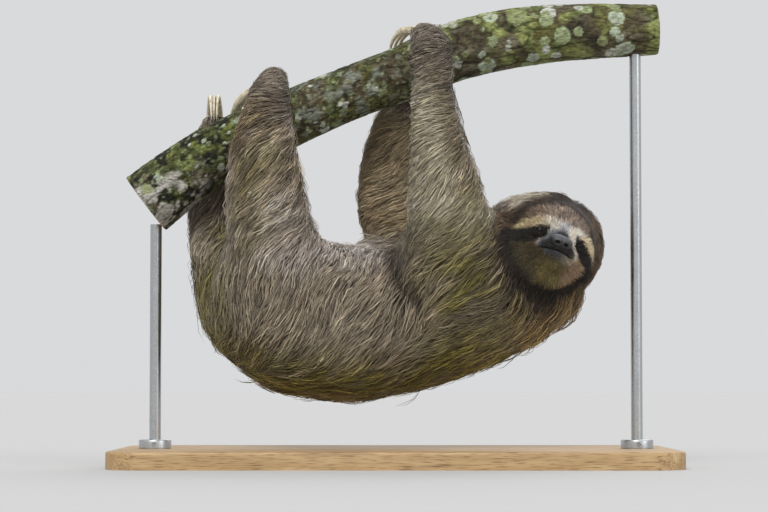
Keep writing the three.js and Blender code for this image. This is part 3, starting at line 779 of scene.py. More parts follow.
def markBody(lay, points):
    x, y, z = (points / mm).T
    trunk, leftLeg, leftArm = part["trunk"], part["left_leg"], part["left_arm"]
    broad, fine = noiseAt(points, 60, 3), noiseAt(points, 17, 4)
    body = 1 - part["head"]
    lay(ease(-0.1, 0.6, broad + 0.5 * fine) * body, "light", 0.35)
    lay(ease(0.0, 0.7, -broad + 0.6 * fine) * body, "dark", 0.35)
    lay(ease(0.1, 0.5, noiseAt(points, 27, 7)) * body, "umber", 0.18)
    nearSide = ease(-20, 20, -y)
    bellyTop = ease(195, 235, z + 0.12 * (x + 40)) * trunk * (1 - ease(-20, 12, x)) * ease(-165, -110, x)
    lay(bellyTop, "belly", 0.85)
    arm = leftArm * ease(215, 260, z) * (1 - ease(360, 455, z))
    lay(arm, "armBeige", 0.75)
    fromEdge = np.interp(z, [278, 373, 467], [84, 69, 45]) - x
    lay(leftArm * ease(22, 8, fromEdge) * ease(265, 300, z) * nearSide, "umber", 0.6)
    shin = leftLeg + 0.6 * part["right_leg"]
    lay(shin * ease(12, 30, np.abs(x + 138)), "legEdge", 0.5)
    lay(leftLeg * ease(285, 350, z), "legBrown", 0.75)
    patches = noiseAt(points, 22, 8)
    lay(shin * ease(0.1, 0.45, patches), "umber", 0.45)
    lay(shin * ease(0.1, 0.45, -patches), "light", 0.4)
    # painted light: the far arm is coloured paler to lift it out of the shade it sits in
    lay(part["right_arm"], "farArm", 0.6)
    lay(bell((x - 98) / 22, (z - 205) / 60) * body, "dark", 0.5)
    shoulder = bell((x - 80) / 48, (z - 200) / 65)
    chestLow = ease(20, 80, x) * (1 - ease(110, 160, z)) * trunk
    lowBack = (1 - ease(88, 150, z + 0.15 * x)) * trunk
    rumpSide = (1 - ease(-185, -150, x)) * trunk
    shinMiddle = leftLeg * (1 - ease(8, 26, np.abs(x + 138))) * (1 - ease(370, 400, z))
    green = 0.9 * shoulder + chestLow + lowBack + rumpSide + 0.3 * arm + 0.35 * shinMiddle
    lay(np.clip(green, 0, 1) * ease(-0.8, 0.3, fine + 0.6 * broad) * body, "algae", 0.92)
    lay(np.clip(chestLow + lowBack, 0, 1) * ease(-0.5, 0.3, noiseAt(points, 30, 9)), "oliveGold", 0.5)
    lay(onPath(x, z, bodyPaths["bellyEdge"], 6.0) * nearSide * trunk, "belly", 0.8)
    lay(bell((x - 125) / 38, (z - 140) / 26) * body, "oliveGold", 0.4)
    # painted shade: darker fur where the head overlaps the chest and round the armpit
    lay(bell((x - 97) / 13, (z - 190) / 38) * nearSide * body, "armpit", 0.35)
    lay(bell((x - 18) / 20, (z - 248) / 22) * nearSide * body, "armpit", 0.4)
    lay(bell((x + 6) / 20, (z - 210) / 20) * nearSide * body, "umber", 0.35)
    lay(bell((x + 190) / 18, (z - 215) / 40) * nearSide * trunk, "dark", 0.35)
    # painted shade: a dark hollow down the near shin
    lay(bell((x + 140) / 10, (z - 303) / 25) * nearSide * leftLeg, "legHollow", 0.95)
    lay(bell((x + 122) / 18, (z - 326) / 26) * nearSide * leftLeg, "legGreen", 0.45)
    lay(onPath(x, z, bodyPaths["calfEdge"], 4.0) * leftLeg, "legEdge", 0.7)
    # painted shade in the armpit and in the crease between shoulder and throat
    lay(hollowAt(points) * nearSide * body, "armpit", 0.95)
    lay(bell((x + 6) / 8, (z - 228) / 4) * nearSide * body, "belly", 0.5)
    lay(part["left_hand"] + part["right_hand"], "wrist", 0.85)
    lay(leftArm * ease(360, 455, z), "wrist", 0.7)
    lay(part["left_foot"] + part["right_foot"], "wrist", 0.5)
    lay(part["right_leg"], "dark", 0.2)


def markHead(lay, points):
    side, ahead, height = toHead(points).T
    wide = np.abs(side)
    leftward = ease(0, 6, side)
    wobble = noiseAt(points, 7, 5) * 1.6
    disc = discRadius(toHead(points)) + wobble
    skull = np.clip(part["head"] + part["neck"] * ease(56, 48, disc), 0, 1)
    hood = skull * (1 - face)
    front = skull * ease(-12, 6, ahead)
    lay(skull, "hoodBrown")
    lay(ease(18, 34, height) * ease(2, -16, side) * hood, "hoodGrey", 0.85)
    lay(hood * (1 - ease(-30, 5, height)) * ease(10, 30, side), "fringe", 0.8)
    ringOuter = 55 - 9 * ease(5, -20, side)
    ring = ease(35.5, 38.5, disc) * (1 - ease(ringOuter - 3, ringOuter + 3, disc)) * ease(-6, 10, height)
    # painted shadow along the hood's rim beside the face
    lay(hood * bell((side + 50) / 7, (height - 14) / 13), "armpit", 0.75)
    lay(ring * front, "crown", 0.95)
    # painted rim light: a paler brown edge on the hood beside the lower left of the face
    lay(skull * ease(41, 46, disc) * ease(14, 30, side) * ease(-20, -5, height), "crownEdge", 0.8)
    lay(hood * ease(2, -28, ahead), "mid", 0.65)
    inside = (1 - ease(40, 43.5, disc * (1 + 0.1 * ease(-20, 10, height)))) * front
    lay(inside, "cheek")
    lay(inside * bell((side + 24) / 8, (height + 9) / 4), "cheekRed", 0.7)
    lay(inside * (1 - ease(-28, -14, height)) * (1 - ease(13, 27, np.abs(side - 8))), "chin", 0.9)
    lay(inside * (1 - ease(-12, -4, height)) * ease(8, 22, side), "chinPink", 0.8)
    lay(inside * ease(12, 20, height + wobble), "forehead", 0.95)
    lay(inside * ease(14, 20, height) * ease(-16, -27, side), "hoodBrown", 0.7)

    def mark(across, up, path, soft, key, strength=1.0):
        lay(onPath(across, up, facePaths[path], soft) * front, key, strength)

    lifted = height + 0.5 * wobble + 1.8 * leftward
    ragged = height + 0.6 * wobble
    mark(wide, lifted, "band", 3.0, "band", 0.95)
    mark(wide, lifted, "band", 4.0, "bandPale", 0.8 * (1 - ease(12, 27, wide)))
    mark(side, lifted, "bandLit", 3.0, "bandLit", 0.9 * (1 - 0.5 * ease(30, 42, side)))
    mark(wide, height, "bridge", 4.0, "bridge", 0.95)
    mark(wide, height, "muzzleSide", 2.2, "muzzleSide", 0.85)
    mark(side, height, "muzzleRight", 3.0, "slateLight", 0.9)
    mark(side, lifted, "bandTan", 2.6, "bandTan", 0.85)
    mark(side, height, "bandInner", 2.2, "bandLit", 0.8)
    mark(side, ragged, "stripeLeft", 1.8, "stripe")
    mark(-side, ragged, "stripeRight", 1.8, "stripe")
    # painted sheen: paler slate hair on the top of the nose's slope
    mark(wide, height, "aboveNose", 4.0, "slateLight", 0.8)
    mark(wide, height, "nose", 3.5, "slate", 0.95)
    jaw = inside * ease(31, 39, disc) * (1 - ease(-10, 4, height)) * (1 - 0.8 * leftward)
    lay(jaw, "cheekDark", 0.5)
    mark(side, height, "lowerLip", 3.0, "slateLight", 0.45)
    lay(bell((side - 12) / 6.5, (height + 15.5) / 3.4) * front, "chinPatch", 0.95)
    mark(wide, height, "mouth", 1.6, "throat", 0.85)
    # the dark crescent under the face disc: partly dark fur bordering the face, partly painted shade under
    # the chin
    rimOuter = 46 + 7 * ease(-14, -32, height) * ease(22, 4, side)
    rim = ease(39, 42, disc) * (1 - ease(rimOuter, rimOuter + 3, disc)) * ease(4, -10, height)
    lay(rim * front, "throat", 0.97)
    under = ease(-12, -28, height) * ease(-30, 0, ahead) * np.clip(part["head"] + part["neck"], 0, 1)
    outsideRim = under * ease(rimOuter, rimOuter + 3, disc) * (1 - ease(72, 88, disc))
    lay(outsideRim * (1 - ease(0, 12, side)), "straw", 0.8)
    lay(outsideRim * ease(0, 12, side), "fringe", 0.85)
    # painted shade under the chin on the face's right side
    lay(outsideRim * ease(0, -14, side) * (1 - ease(54, 62, disc)), "throat", 0.6)
    # painted shade in the crease between shoulder and throat
    lay(hollowAt(points) * skull * (1 - face), "armpit", 0.9)


skinColour = np.tile(linear(coatColours["mid"]), (len(skinPoints), 1))
markBody(brush(skinColour, coatColours), skinPoints)
markHead(brush(skinColour, coatColours), skinPoints)
skinColour = np.clip(skinColour, 0, 1)
skinShade = 0.42 + 0.43 * face  # the skin is darker than the coat over it: partly the undercoat's own colour, partly painted shade for the gaps between locks
addAttribute(skin.data, "coatColour", opaque(skinColour * skinShade[:, None]))

# Skin: hide under the coat, dark and matte, seen only in the gaps between locks.
skinMaterial, tree = newMaterial("undercoatSkin")
colour = addNode(tree, "Attribute", attribute_name="coatColour").outputs["Color"]
place = addNode(tree, "TexCoord").outputs["Object"]
fuzz = addNode(tree, "TexNoise", {"Vector": place, "Scale": 700.0, "Detail": 4.0})
fuzzy = addNode(tree, "ValToRGB", {"Fac": fuzz}, [(0.3, "#8c8c8c"), (0.7, "#ffffff")])
coloured = addNode(tree, "Mix", {0: 0.6, 6: colour, 7: fuzzy}, data_type="RGBA", blend_type="MULTIPLY")
bump = addNode(tree, "Bump", {"Height": fuzz, "Strength": 0.5, "Distance": 0.0006})
matte = {"Roughness": 0.85, "Specular IOR Level": 0.2}
shader = addNode(tree, "BsdfPrincipled", {"Base Color": coloured.outputs[2], "Normal": bump} | matte)
addNode(tree, "OutputMaterial", {"Surface": shader})
finishPiece(skin, skinMaterial, partNames)
print("skin coloured")

# ---- coat: thin pointed locks grown over the skin, gathered in clumps ----

coatShape = {
    "ringAt": [0.16, 0.46, 0.77],  # places of a long lock's rings along its length
    "ringWidth": [0.8, 1.0, 0.66],
    "shortRingAt": [0.25, 0.68],
    "shortRingWidth": [0.9, 0.8],
    "flatness": 0.55,  # thickness of a lock against its width
    "locksPerClump": 9,
    "gather": 0.38,  # how far a lock's tip is drawn to its clump
    "heightRange": (0.45, 1.03),
    "waveLength": 29.0,
    "waveSize": 1.8,
    "stray": 0.09,  # how far a tip strays sideways, as a share of the length
    "flyaway": 0.0009,  # share of the locks that stand off the coat
    "stiffness": 0.08,
    "steps": 5,  # places along a lock where its path is worked out
    "perchGap": 0.9,  # least mm from the hair to the branch
    "pieceLimit": 10500,  # long locks in one piece
    "patch": 0.003,  # side of one lock's patch in the piece's map
    "evenLight": 0.5,  # how far a lock's shading follows the body under it
}

skin.data.calc_loop_triangles()
triangles = read(skin.data.loop_triangles, "vertices", 3, np.int32)
triangleLoops = read(skin.data.loop_triangles, "loops", 3, np.int32)
triangleFace = read(skin.data.loop_triangles, "polygon_index", 1, np.int32)[:, 0]
corners = skinPoints[triangles]
areas = np.cross(corners[:, 1] - corners[:, 0], corners[:, 2] - corners[:, 0])
areas = np.linalg.norm(areas, axis=1) / 2 / mm ** 2

# Regions: the face, the hood and each other part; each is unwrapped by itself over the whole square.
regionNames = ["face", "hood"] + partNames[1:]
region = np.where(face > 0.5, 0, weights.argmax(1) + 1)
faceRegion = np.empty(len(skin.data.polygons), np.int32)
faceRegion[triangleFace] = region[triangles[:, 0]]
skin.data.uv_layers.new(name="coatPlaces")
for label in range(len(regionNames)):
    pick(skin, "FACE", faceRegion == label)
    bpy.ops.uv.smart_project(angle_limit=math.radians(75), island_margin=0.004)
    setMode("OBJECT")
skinMap = read(skin.data.uv_layers["coatPlaces"].uv, "vector", 2)
skin.data.uv_layers.remove(skin.data.uv_layers["coatPlaces"])
print("skin unwrapped by region")


def bareAt(points):  # 1 where no hair grows: nose pad, lips and eye openings
    places = toHead(points)
    side, ahead, height = places.T
    front = ahead > 25
    bare = np.zeros(len(points))
    for eyeSide in ("left", "right"):
        middle, along, _, up = eyeFrame(eyeSide)
        across = (places - middle) @ along / (faceShape["openingHalfWidth"] + 0.6)
        rise = (places - middle) @ up / (faceShape["openingHalfHeight"] + 0.5)
        bare[(across ** 2 + rise ** 2 < 1) & front] = 1
    bare[(np.hypot(side / 10.4, (height + 1.2) / 5.8) < 1) & (ahead > 45)] = 1
    lips = (abs(height - mouthHeight(side)) < 1.0) & (abs(side) < faceShape["mouthHalfWidth"])
    bare[lips & front] = 1
    return bare


perchTree = solidTree("perch_branch")


def keepOffPerch(points):  # moves points that are too near the branch back out of it
    clearance = coatShape["perchGap"] * mm
    moved = points.copy()
    for i, point in enumerate(points):
        found, normal, _, _ = perchTree.find_nearest(Vector(point), 0.03)
        if found is not None:
            out = (Vector(point) - found).dot(normal)
            if out < clearance:
                moved[i] = point + np.array(normal) * (clearance - out)
    return moved


density = (1 - bareAt(skinPoints)) / hairSpacing ** 2
wanted = density[triangles].mean(1) * areas
lockCount = int(wanted.sum())
counted = (np.arange(lockCount) + rng.random(lockCount)) / lockCount * wanted.sum()
picked = np.minimum(np.searchsorted(np.cumsum(wanted), counted), len(triangles) - 1)
first, second = rng.random(lockCount), rng.random(lockCount)
flip = first + second > 1
first[flip], second[flip] = 1 - first[flip], 1 - second[flip]
share = np.stack([1 - first - second, first, second], 1)
roots = (skinPoints[triangles[picked]] * share[:, :, None]).sum(1)
rootMap = (skinMap[triangleLoops[picked]] * share[:, :, None]).sum(1)
rootVertex = triangles[picked][np.arange(lockCount), share.argmax(1)]
rootPart = {name: values[rootVertex] for name, values in part.items()}
lockRegion = region[rootVertex]
for i, name in enumerate(regionNames):
    print("  locks on", name, (lockRegion == i).sum())

variation = rng.normal(0, 1, lockCount)
lockLength = hairLength[rootVertex] * np.clip(1 + 0.22 * variation, 0.5, 1.6)
isFace = face[rootVertex]
steps = coatShape["steps"]


def traceOver(starts, vertices, lengths):  # paths that follow the lie of the hair over the skin
    path, near, here = [starts], [vertices], starts
    direction = lie[vertices]
    for _ in range(steps):
        direction = unit(direction * 0.45 + lie[near[-1]] * 0.55)
        here = here + direction * (lengths * mm / steps)[:, None]
        closest = nearest(skinTree, here)
        above = ((here - skinPoints[closest]) * skinNormals[closest]).sum(1)
        above = np.where(above > 0, above * (1 - coatShape["stiffness"]), above)
        here = here - skinNormals[closest] * above[:, None]
        path.append(here)
        near.append(closest)
    return np.stack(path, 1), np.stack(near, 1)


path, near = traceOver(roots, rootVertex, lockLength)
print("locks traced:", lockCount)

# Clumps: some locks lead, and the ones round them lean to them.
leads = rng.permutation(lockCount)[: lockCount // coatShape["locksPerClump"]]
clump = nearest(treeOf(roots[leads]), roots)
lead = leads[clump]
fromLead = np.linalg.norm(roots - roots[lead], axis=1) / mm
clumpSpan = np.maximum(hairSpacing[rootVertex] * math.sqrt(coatShape["locksPerClump"]) * 0.6, 1)
edge = np.clip(fromLead / clumpSpan, 0, 1.5)
sameSide = (skinNormals[rootVertex] * skinNormals[rootVertex[lead]]).sum(1) > 0.6
gather = coatShape["gather"] * (1 - 0.8 * isFace) * sameSide
gather = gather * np.clip(rng.normal(1, 0.3, lockCount), 0.1, 1.4)
along = np.linspace(0, 1, steps + 1)
path = path + (path[lead] - path) * (gather[:, None] * along ** 1.3)[:, :, None]
clumpRandom = rng.normal(0, 1, (len(leads), 4))[clump]

# Height of each lock over the skin, as a share of the coat's depth there.
lowest, highest = coatShape["heightRange"]
height = lowest + (highest - lowest) * rng.random(lockCount) ** 0.8
height = height * (1 - 0.25 * edge ** 2 * (1 - isFace)) * (1 + 0.1 * clumpRandom[:, 0])
side, _, up = toHead(roots).T
hoodRise = np.interp(side, [-75, -58, -45, -12, 8, 24, 40, 60], [2.3, 1.8, 1.1, 0.6, 0.85, 1.3, 1.2, 0.9])
height = height * np.where(lockRegion == 1, 0.85 + (hoodRise - 0.85) * ease(-25, 15, up), 1.0)
x, _, z = (roots / mm).T
height = height * (1 - 0.55 * bell((x - 66) / 16, (z - 378) / 32) * rootPart["left_arm"])
height = height * (1 - 0.5 * hollowAt(roots)) * (1 - 0.4 * bell((x + 165) / 35, (z - 100) / 35))
height = height * (1 + 0.45 * ease(-180, -200, x) * ease(140, 175, z) * rootPart["trunk"])
height = height * (1 + 0.3 * rootPart["left_hand"] + 0.35 * ease(5, 30, side) * rootPart["neck"])
loose = np.isin(lockRegion, [regionNames.index(name) for name in ("trunk", "neck", "tail")])
flyaway = (rng.random(lockCount) < coatShape["flyaway"] * loose) & (isFace < 0.5)
height = np.where(flyaway, 1.15 + 0.35 * rng.random(lockCount), height)
lift = np.interp(along, [0, 0.2, 0.45, 0.75, 1], [-0.06, 0.66, 0.98, 1.0, 0.74])
lift = lift + 0.5 * flyaway[:, None] * along ** 2
nearNormals = skinNormals[near]
path = path + nearNormals * (lift * (height * coatDepth[rootVertex] * mm)[:, None])[:, :, None]

# Waves and strays.
tangents = unit(np.gradient(path, axis=1))
sideways = unit(np.cross(nearNormals, tangents))
outwards = np.cross(tangents, sideways)
waves = along * (lockLength / coatShape["waveLength"])[:, None]
waves = 2 * math.pi * (waves + (clumpRandom[:, 1] + 0.12 * variation)[:, None])
waveSize = coatShape["waveSize"] * (1 - isFace) * lockLength / 40
stray = coatShape["stray"] * rng.normal(0, 1, lockCount) * (1 - 0.6 * isFace) * lockLength
sway = along * stray[:, None] + np.sin(waves) * (waveSize * (1 + 0.4 * clumpRandom[:, 2]))[:, None]
bob = np.cos(waves) * 0.5 * waveSize[:, None]
grow = np.minimum(along * 3, 1)
path = path + (sideways * (sway * grow)[:, :, None] + outwards * (bob * grow)[:, :, None]) * mm
byPerch = np.flatnonzero([perchTree.find_nearest(Vector(p), 0.05)[0] is not None for p in roots])
path[byPerch] = keepOffPerch(path[byPerch].reshape(-1, 3)).reshape(len(byPerch), -1, 3)
print("locks shaped")

# Colours: each lock starts from the skin's marking and is paler, darker or greener than its neighbours.
onLeg = rootPart["left_leg"]
lockTone = 0.27 * rng.normal(0, 1, lockCount) + (0.2 + 0.14 * onLeg) * clumpRandom[:, 3]
lockTone = np.exp(lockTone + 0.13 * (1 - isFace) + 0.06 * onLeg - 0.13 * rootPart["left_foot"])
lockTone = lockTone ** (1 - 0.45 * isFace + 0.6 * isFace * ease(12, 20, up))
lockColour = skinColour[rootVertex]
pale, deep = np.array(linear("#c6bba6")), np.array(linear("#4a3a2a"))
tint = rng.random(lockCount)
hoodStreaks = 1.3 * ease(50, 56, np.hypot(side, up)) * ease(0, 30, up)
streaky = np.where(lockRegion == 1, hoodStreaks, 1 - isFace)
toPale = (ease(0.7, 0.95, tint) * (0.5 + 0.2 * onLeg - 0.2 * rootPart["trunk"]) * streaky)[:, None]
toDeep = (ease(0.3, 0.0, tint) * (0.5 + 0.25 * onLeg) * streaky)[:, None]
greenness = (lockColour[:, 1] - lockColour[:, 2]) / np.maximum(lockColour[:, 1], 0.01)
olive = (ease(0.35, 0.75, greenness) * (1 - isFace))[:, None]
paleLock = lockColour * (1.7 + 0.5 * olive) * (1 + olive) / 2 + pale * (1 - olive) / 2
deepLock = (lockColour * 0.5 + deep) / 2
lockColour = lockColour * (1 - toPale - toDeep) + paleLock * toPale + deepLock * toDeep
clumpHue = np.clip(clumpRandom[:, 3:], -1.5, 1.5) * olive  # olive clumps run from brown to yellow-green
lockColour = lockColour * np.exp(clumpHue * np.array([0.19, 0.2, -0.05]))
coatNormals = unit(spread(skinNormals, skinEdges, 6))

# Sloth hair: coarse, dull and grooved; matte with a faint sheen from the side.
hairMaterial, tree = newMaterial("coarseHair")
colour = addNode(tree, "Attribute", attribute_name="coatColour").outputs["Color"]
strand = addNode(tree, "UVMap", uv_map="strands")
strand = addNode(tree, "Mapping", {"Vector": strand, "Scale": (4.0, 0.9, 1.0)})
grain = addNode(tree, "TexNoise", {"Vector": strand, "Scale": 1.6, "Detail": 2.0})
grained = addNode(tree, "ValToRGB", {"Fac": grain}, [(0.32, "#8f8981"), (0.62, "#ffffff")])
haired = addNode(tree, "Mix", {0: 0.8, 6: colour, 7: grained}, data_type="RGBA", blend_type="MULTIPLY")
place = addNode(tree, "TexCoord").outputs["Object"]
# painted shade: darker blotches about 9 mm across, standing for the shadows among tangled curls
tangleShadeNoise = addNode(tree, "TexNoise", {"Vector": place, "Scale": 110.0, "Detail": 3.0, "Distortion": 0.8})
tangleShadeColour = addNode(tree, "ValToRGB", {"Fac": tangleShadeNoise}, [(0.36, "#7d776c"), (0.56, "#ffffff")])
tangleShade = addNode(tree, "Attribute", attribute_name="tangleShade").outputs["Fac"]
haired = {0: tangleShade, 6: haired.outputs[2], 7: tangleShadeColour}
coloured = addNode(tree, "Mix", haired, data_type="RGBA", blend_type="MULTIPLY")
bump = addNode(tree, "Bump", {"Height": grain, "Strength": 0.35, "Distance": 0.0004})
dull = {"Roughness": 0.72, "Specular IOR Level": 0.28, "Sheen Weight": 0.12, "Sheen Roughness": 0.5}
shader = addNode(tree, "BsdfPrincipled", {"Base Color": coloured.outputs[2], "Normal": bump} | dull)
addNode(tree, "OutputMaterial", {"Surface": shader})


def sampleAt(values, places):  # values given at even steps along each lock, read at the rings' places
    position = np.clip(np.array(places) * steps, 0, steps - 1e-6)
    low = position.astype(int)
    between = (position - low)[None, :, None]
    return values[:, low] * (1 - between) + values[:, low + 1] * between


def lockFaces(ringAt):  # one lock's faces (root, tip, then three points a ring) and their places in its patch
    faces, places = [], []
    levels = [0.0] + ringAt + [1.0]
    last = 3 * (len(ringAt) - 1)
    for k in range(3):
        a, b = 2 + k, 2 + (k + 1) % 3
        faces.append((0, b, a))
        places.append(((0.5, levels[0]), (1, levels[1]), (0, levels[1])))
        for ring, (low, high) in enumerate(zip(levels[1:-2], levels[2:-1])):
            c, d = a + 3 * ring, b + 3 * ring
            faces += [(c, d, d + 3), (c, d + 3, c + 3)]
            places += [((0, low), (1, low), (1, high)), ((0, low), (1, high), (0, high))]
        faces.append((a + last, b + last, 1))
        places.append(((0, levels[-2]), (1, levels[-2]), (0.5, levels[-1])))
    return np.array(faces), np.array(places)


def coatPiece(name, picks, ringAt, ringWidth, node):
    n = len(picks)
    wide = unit(sampleAt(sideways[picks], ringAt))
    thick = unit(sampleAt(outwards[picks], ringAt))
    turn = rng.normal(0, 0.45, n)[:, None, None]
    across = wide * np.cos(turn) + thick * np.sin(turn)
    outward = thick * np.cos(turn) - wide * np.sin(turn)
    widths = hairWidth[rootVertex[picks]] * np.clip(rng.normal(1, 0.25, n), 0.55, 1.6)
    widths = widths[:, None] * np.array(ringWidth) / 2 * mm
    points = np.empty((n, 2 + 3 * len(ringAt), 3))
    points[:, 0], points[:, 1] = path[picks][:, 0], path[picks][:, -1]
    for k in range(3):
        angle = 2 * math.pi * k / 3 + math.pi / 2
        offset = across * math.cos(angle) + outward * math.sin(angle) * coatShape["flatness"]
        points[:, 2 + k::3] = sampleAt(path[picks], ringAt) + offset * widths[:, :, None]
    perLock = points.shape[1]
    faces, places = lockFaces(ringAt)
    faces = (faces[None] + (np.arange(n) * perLock)[:, None, None]).reshape(-1, 3)

    mesh = bpy.data.meshes.new(name)
    mesh.vertices.add(n * perLock)
    mesh.vertices.foreach_set("co", points.astype(np.float32).ravel())
    mesh.loops.add(faces.size)
    mesh.loops.foreach_set("vertex_index", faces.astype(np.int32).ravel())
    mesh.polygons.add(len(faces))
    mesh.polygons.foreach_set("loop_start", np.arange(0, faces.size, 3, dtype=np.int32))
    mesh.polygons.foreach_set("use_smooth", np.ones(len(faces), bool))
    mesh.update(calc_edges=True)
    piece = bpy.data.objects.new(name, mesh)
    bpy.context.scene.collection.objects.link(piece)

    patches = rootMap[picks][:, None, None] * (1 - coatShape["patch"]) + places * coatShape["patch"]
    mesh.uv_layers.new(name="OFBake").uv.foreach_set("vector", patches.astype(np.float32).ravel())
    ownPlace = np.stack([rng.random(n) * 40, rng.random(n) * 40], 1)[:, None, None]
    strands = places * np.array([0.35, 1.0]) + ownPlace
    mesh.uv_layers.new(name="strands").uv.foreach_set("vector", strands.astype(np.float32).ravel())
    placeAlong = [0.0, 1.0] + [at for at in ringAt for _ in range(3)]
    # darker at the root and paler at the tip: partly the hair's own colour, partly painted shade deep in the
    # coat and a painted highlight at the tips
    rootShadeTipSheen = np.interp(placeAlong, [0, 0.15, 0.4, 0.7, 1], [0.4, 0.6, 0.92, 1.12, 1.25])
    rootShadeTipSheen = rootShadeTipSheen + (1 - rootShadeTipSheen) * 0.55 * isFace[picks][:, None]
    colour = lockColour[picks][:, None] * (lockTone[picks][:, None] * rootShadeTipSheen)[:, :, None]
    addAttribute(mesh, "coatColour", opaque(np.clip(colour, 0, 1).reshape(-1, 3)))
    # how strongly the painted tangle shade darkens each lock
    tangleShadeAmount = 0.32 * (1 - isFace[picks]) * (1 - 0.6 * rootPart["head"][picks])
    addAttribute(mesh, "tangleShade", np.repeat(tangleShadeAmount, perLock))
    body = np.repeat(coatNormals[rootVertex[picks]], perLock, axis=0)
    evened = normalsOf(piece) * (1 - coatShape["evenLight"]) + body * coatShape["evenLight"]
    mesh.normals_split_custom_set_from_vertices(unit(evened))
    finishPiece(piece, hairMaterial, [node])
    return len(faces)


coatFaces = 0
for label, name in enumerate(regionNames):
    short = label == 0 or name.endswith(("hand", "foot", "arm", "leg"))
    ringAt, ringWidth = ("shortRingAt", "shortRingWidth") if short else ("ringAt", "ringWidth")
    limit = coatShape["pieceLimit"] * (1.5 if short else 1)
    locks = np.flatnonzero(lockRegion == label)
    locks = locks[np.argsort(path[locks, 0, 0])]
    node = "head" if label < 2 else name
    for i, picks in enumerate(np.array_split(locks, max(1, math.ceil(len(locks) / limit)))):
        pieceName = f"coat_{name}_{i + 1}"
        coatFaces += coatPiece(pieceName, picks, coatShape[ringAt], coatShape[ringWidth], node)
print("coat grown:", coatFaces, "triangles")

# ---- perch: a cut length of branch with bark, moss, lichen and sawn ends ----

perchShape = {
    "voxel": 1.6,
    "barkDepth": 1.5,  # mm from crests to hollows
    "proud": 0.5,  # most mm that the bark stands out of the plain branch
    "crusts": 240,
    "crustRadius": (1.4, 6.0),
    "rosettes": 105,
    "rosetteRadius": (4.5, 11.5),
    "ringWidth": 4.6,  # mm from one year's ring to the next on the sawn ends
}
barkColours = {
    "bark": "#5c5340", "barkDark": "#231f17", "barkPale": "#9a947f", "soot": "#1d1c16",
    "algae": "#70703c", "moss": "#4f5d29", "mossPale": "#8c964e", "yellowGreen": "#a2ac68",
    "greyLichen": "#8b9188", "crustWhite": "#d4d1cc", "lichen0": "#bfccb8", "lichen1": "#a5b58a",
    "lichen2": "#d3d8cf", "lichen3": "#9aa574", "wood": "#c9a977", "woodDark": "#8f6d42",
}

branch = copyOfNodes(["perch_branch"], "branch")
remesh(branch, perchShape["voxel"], 6)
barkPoints, barkNormals = pointsOf(branch), normalsOf(branch)
x, y, z = (barkPoints / mm).T
branchLine = np.polyfit(x, z, 4)
aboveLine = z - np.polyval(branchLine, x)
sawn = np.zeros(len(x))
for sign, place in ((-1, x.min() + 15), (1, x.max())):  # each end's axis comes from its cut face's normals
    axis = unit(np.array([sign, 0, sign * np.polyval(np.polyder(branchLine), place)]))
    cutFace = (barkNormals @ axis > 0.85) & (x * sign > (x * sign).max() - 45)
    axis = unit(barkNormals[cutFace].mean(0))
    reach = barkPoints @ axis / mm
    facing = spread(barkNormals @ axis, edgesOf(branch), 2)[:, 0]
    sawn = np.maximum(sawn, ease(0.7, 0.88, facing) * (reach > reach.max() - 6))


def barkNoise(size, seed):
    return noiseAt(barkPoints, size, seed)


barkPlaces = np.stack([x * 0.34, y, aboveLine], 1) * mm  # stretched along the grain
broadBark = noiseAt(barkPlaces, 26, 11)
plates = noiseAt(barkPlaces, 8.5, 12)
fineBark = barkNoise(4.0, 13)
cracks = bell(noiseAt(barkPlaces, 13, 14) / 0.05)
relief = 0.55 * broadBark + 0.35 * plates + 0.18 * fineBark - 0.55 * cracks

# Lichens: ragged crusts everywhere, and round rosettes with a pale rim towards the thinner end.
lobes = barkNoise(5.5, 15) + 0.7 * barkNoise(2.6, 21)
flocking = barkNoise(40, 25)
places = rng.permutation(np.flatnonzero(sawn < 0.1))
thinEnd = places[(x[places] > 18) & (flocking[places] > -0.04)]
seats = [(seat, perchShape["crustRadius"], 0.6) for seat in places[: perchShape["crusts"]]]
seats += [(seat, perchShape["rosetteRadius"], 0.15) for seat in thinEnd[: perchShape["rosettes"]]]
lichen, lichenRim, lichenKind = np.zeros(len(x)), np.zeros(len(x)), np.zeros(len(x), int)
for number, (seat, (smallest, largest), ragged) in enumerate(seats):
    radius = smallest + (largest - smallest) * rng.random() ** 1.8
    away = np.linalg.norm(barkPoints - barkPoints[seat], axis=1) / mm
    inside = 1 - (away + lobes * radius * ragged) / radius
    mask = ease(0.0, 0.14, inside)
    lichenKind = np.where(mask > lichen, number % 4, lichenKind)
    lichenRim = np.where(mask > lichen, bell((inside - 0.16) / 0.14), lichenRim)
    lichen = np.maximum(lichen, mask)
lichen = lichen * (1 - sawn)
relief = relief + 0.22 * lichen + 0.16 * lichenRim * lichen

pawNodes = [name for name in frame["nodes"] if "claw" in name or "hand" in name or "foot" in name]
pawTree = treeOf(np.vstack([pointsOf(frame["nodes"][name]) for name in pawNodes]))
fromPaw = np.array([pawTree.find(p)[2] for p in barkPoints]) / mm
push = np.minimum(relief * perchShape["barkDepth"], perchShape["proud"])
push = np.where(push > 0, push * (1 - bell(fromPaw / 9)), push)  # no crest stands out under the paws
setPoints(branch, barkPoints + barkNormals * ((push * (1 - sawn) - 0.1) * mm)[:, None])

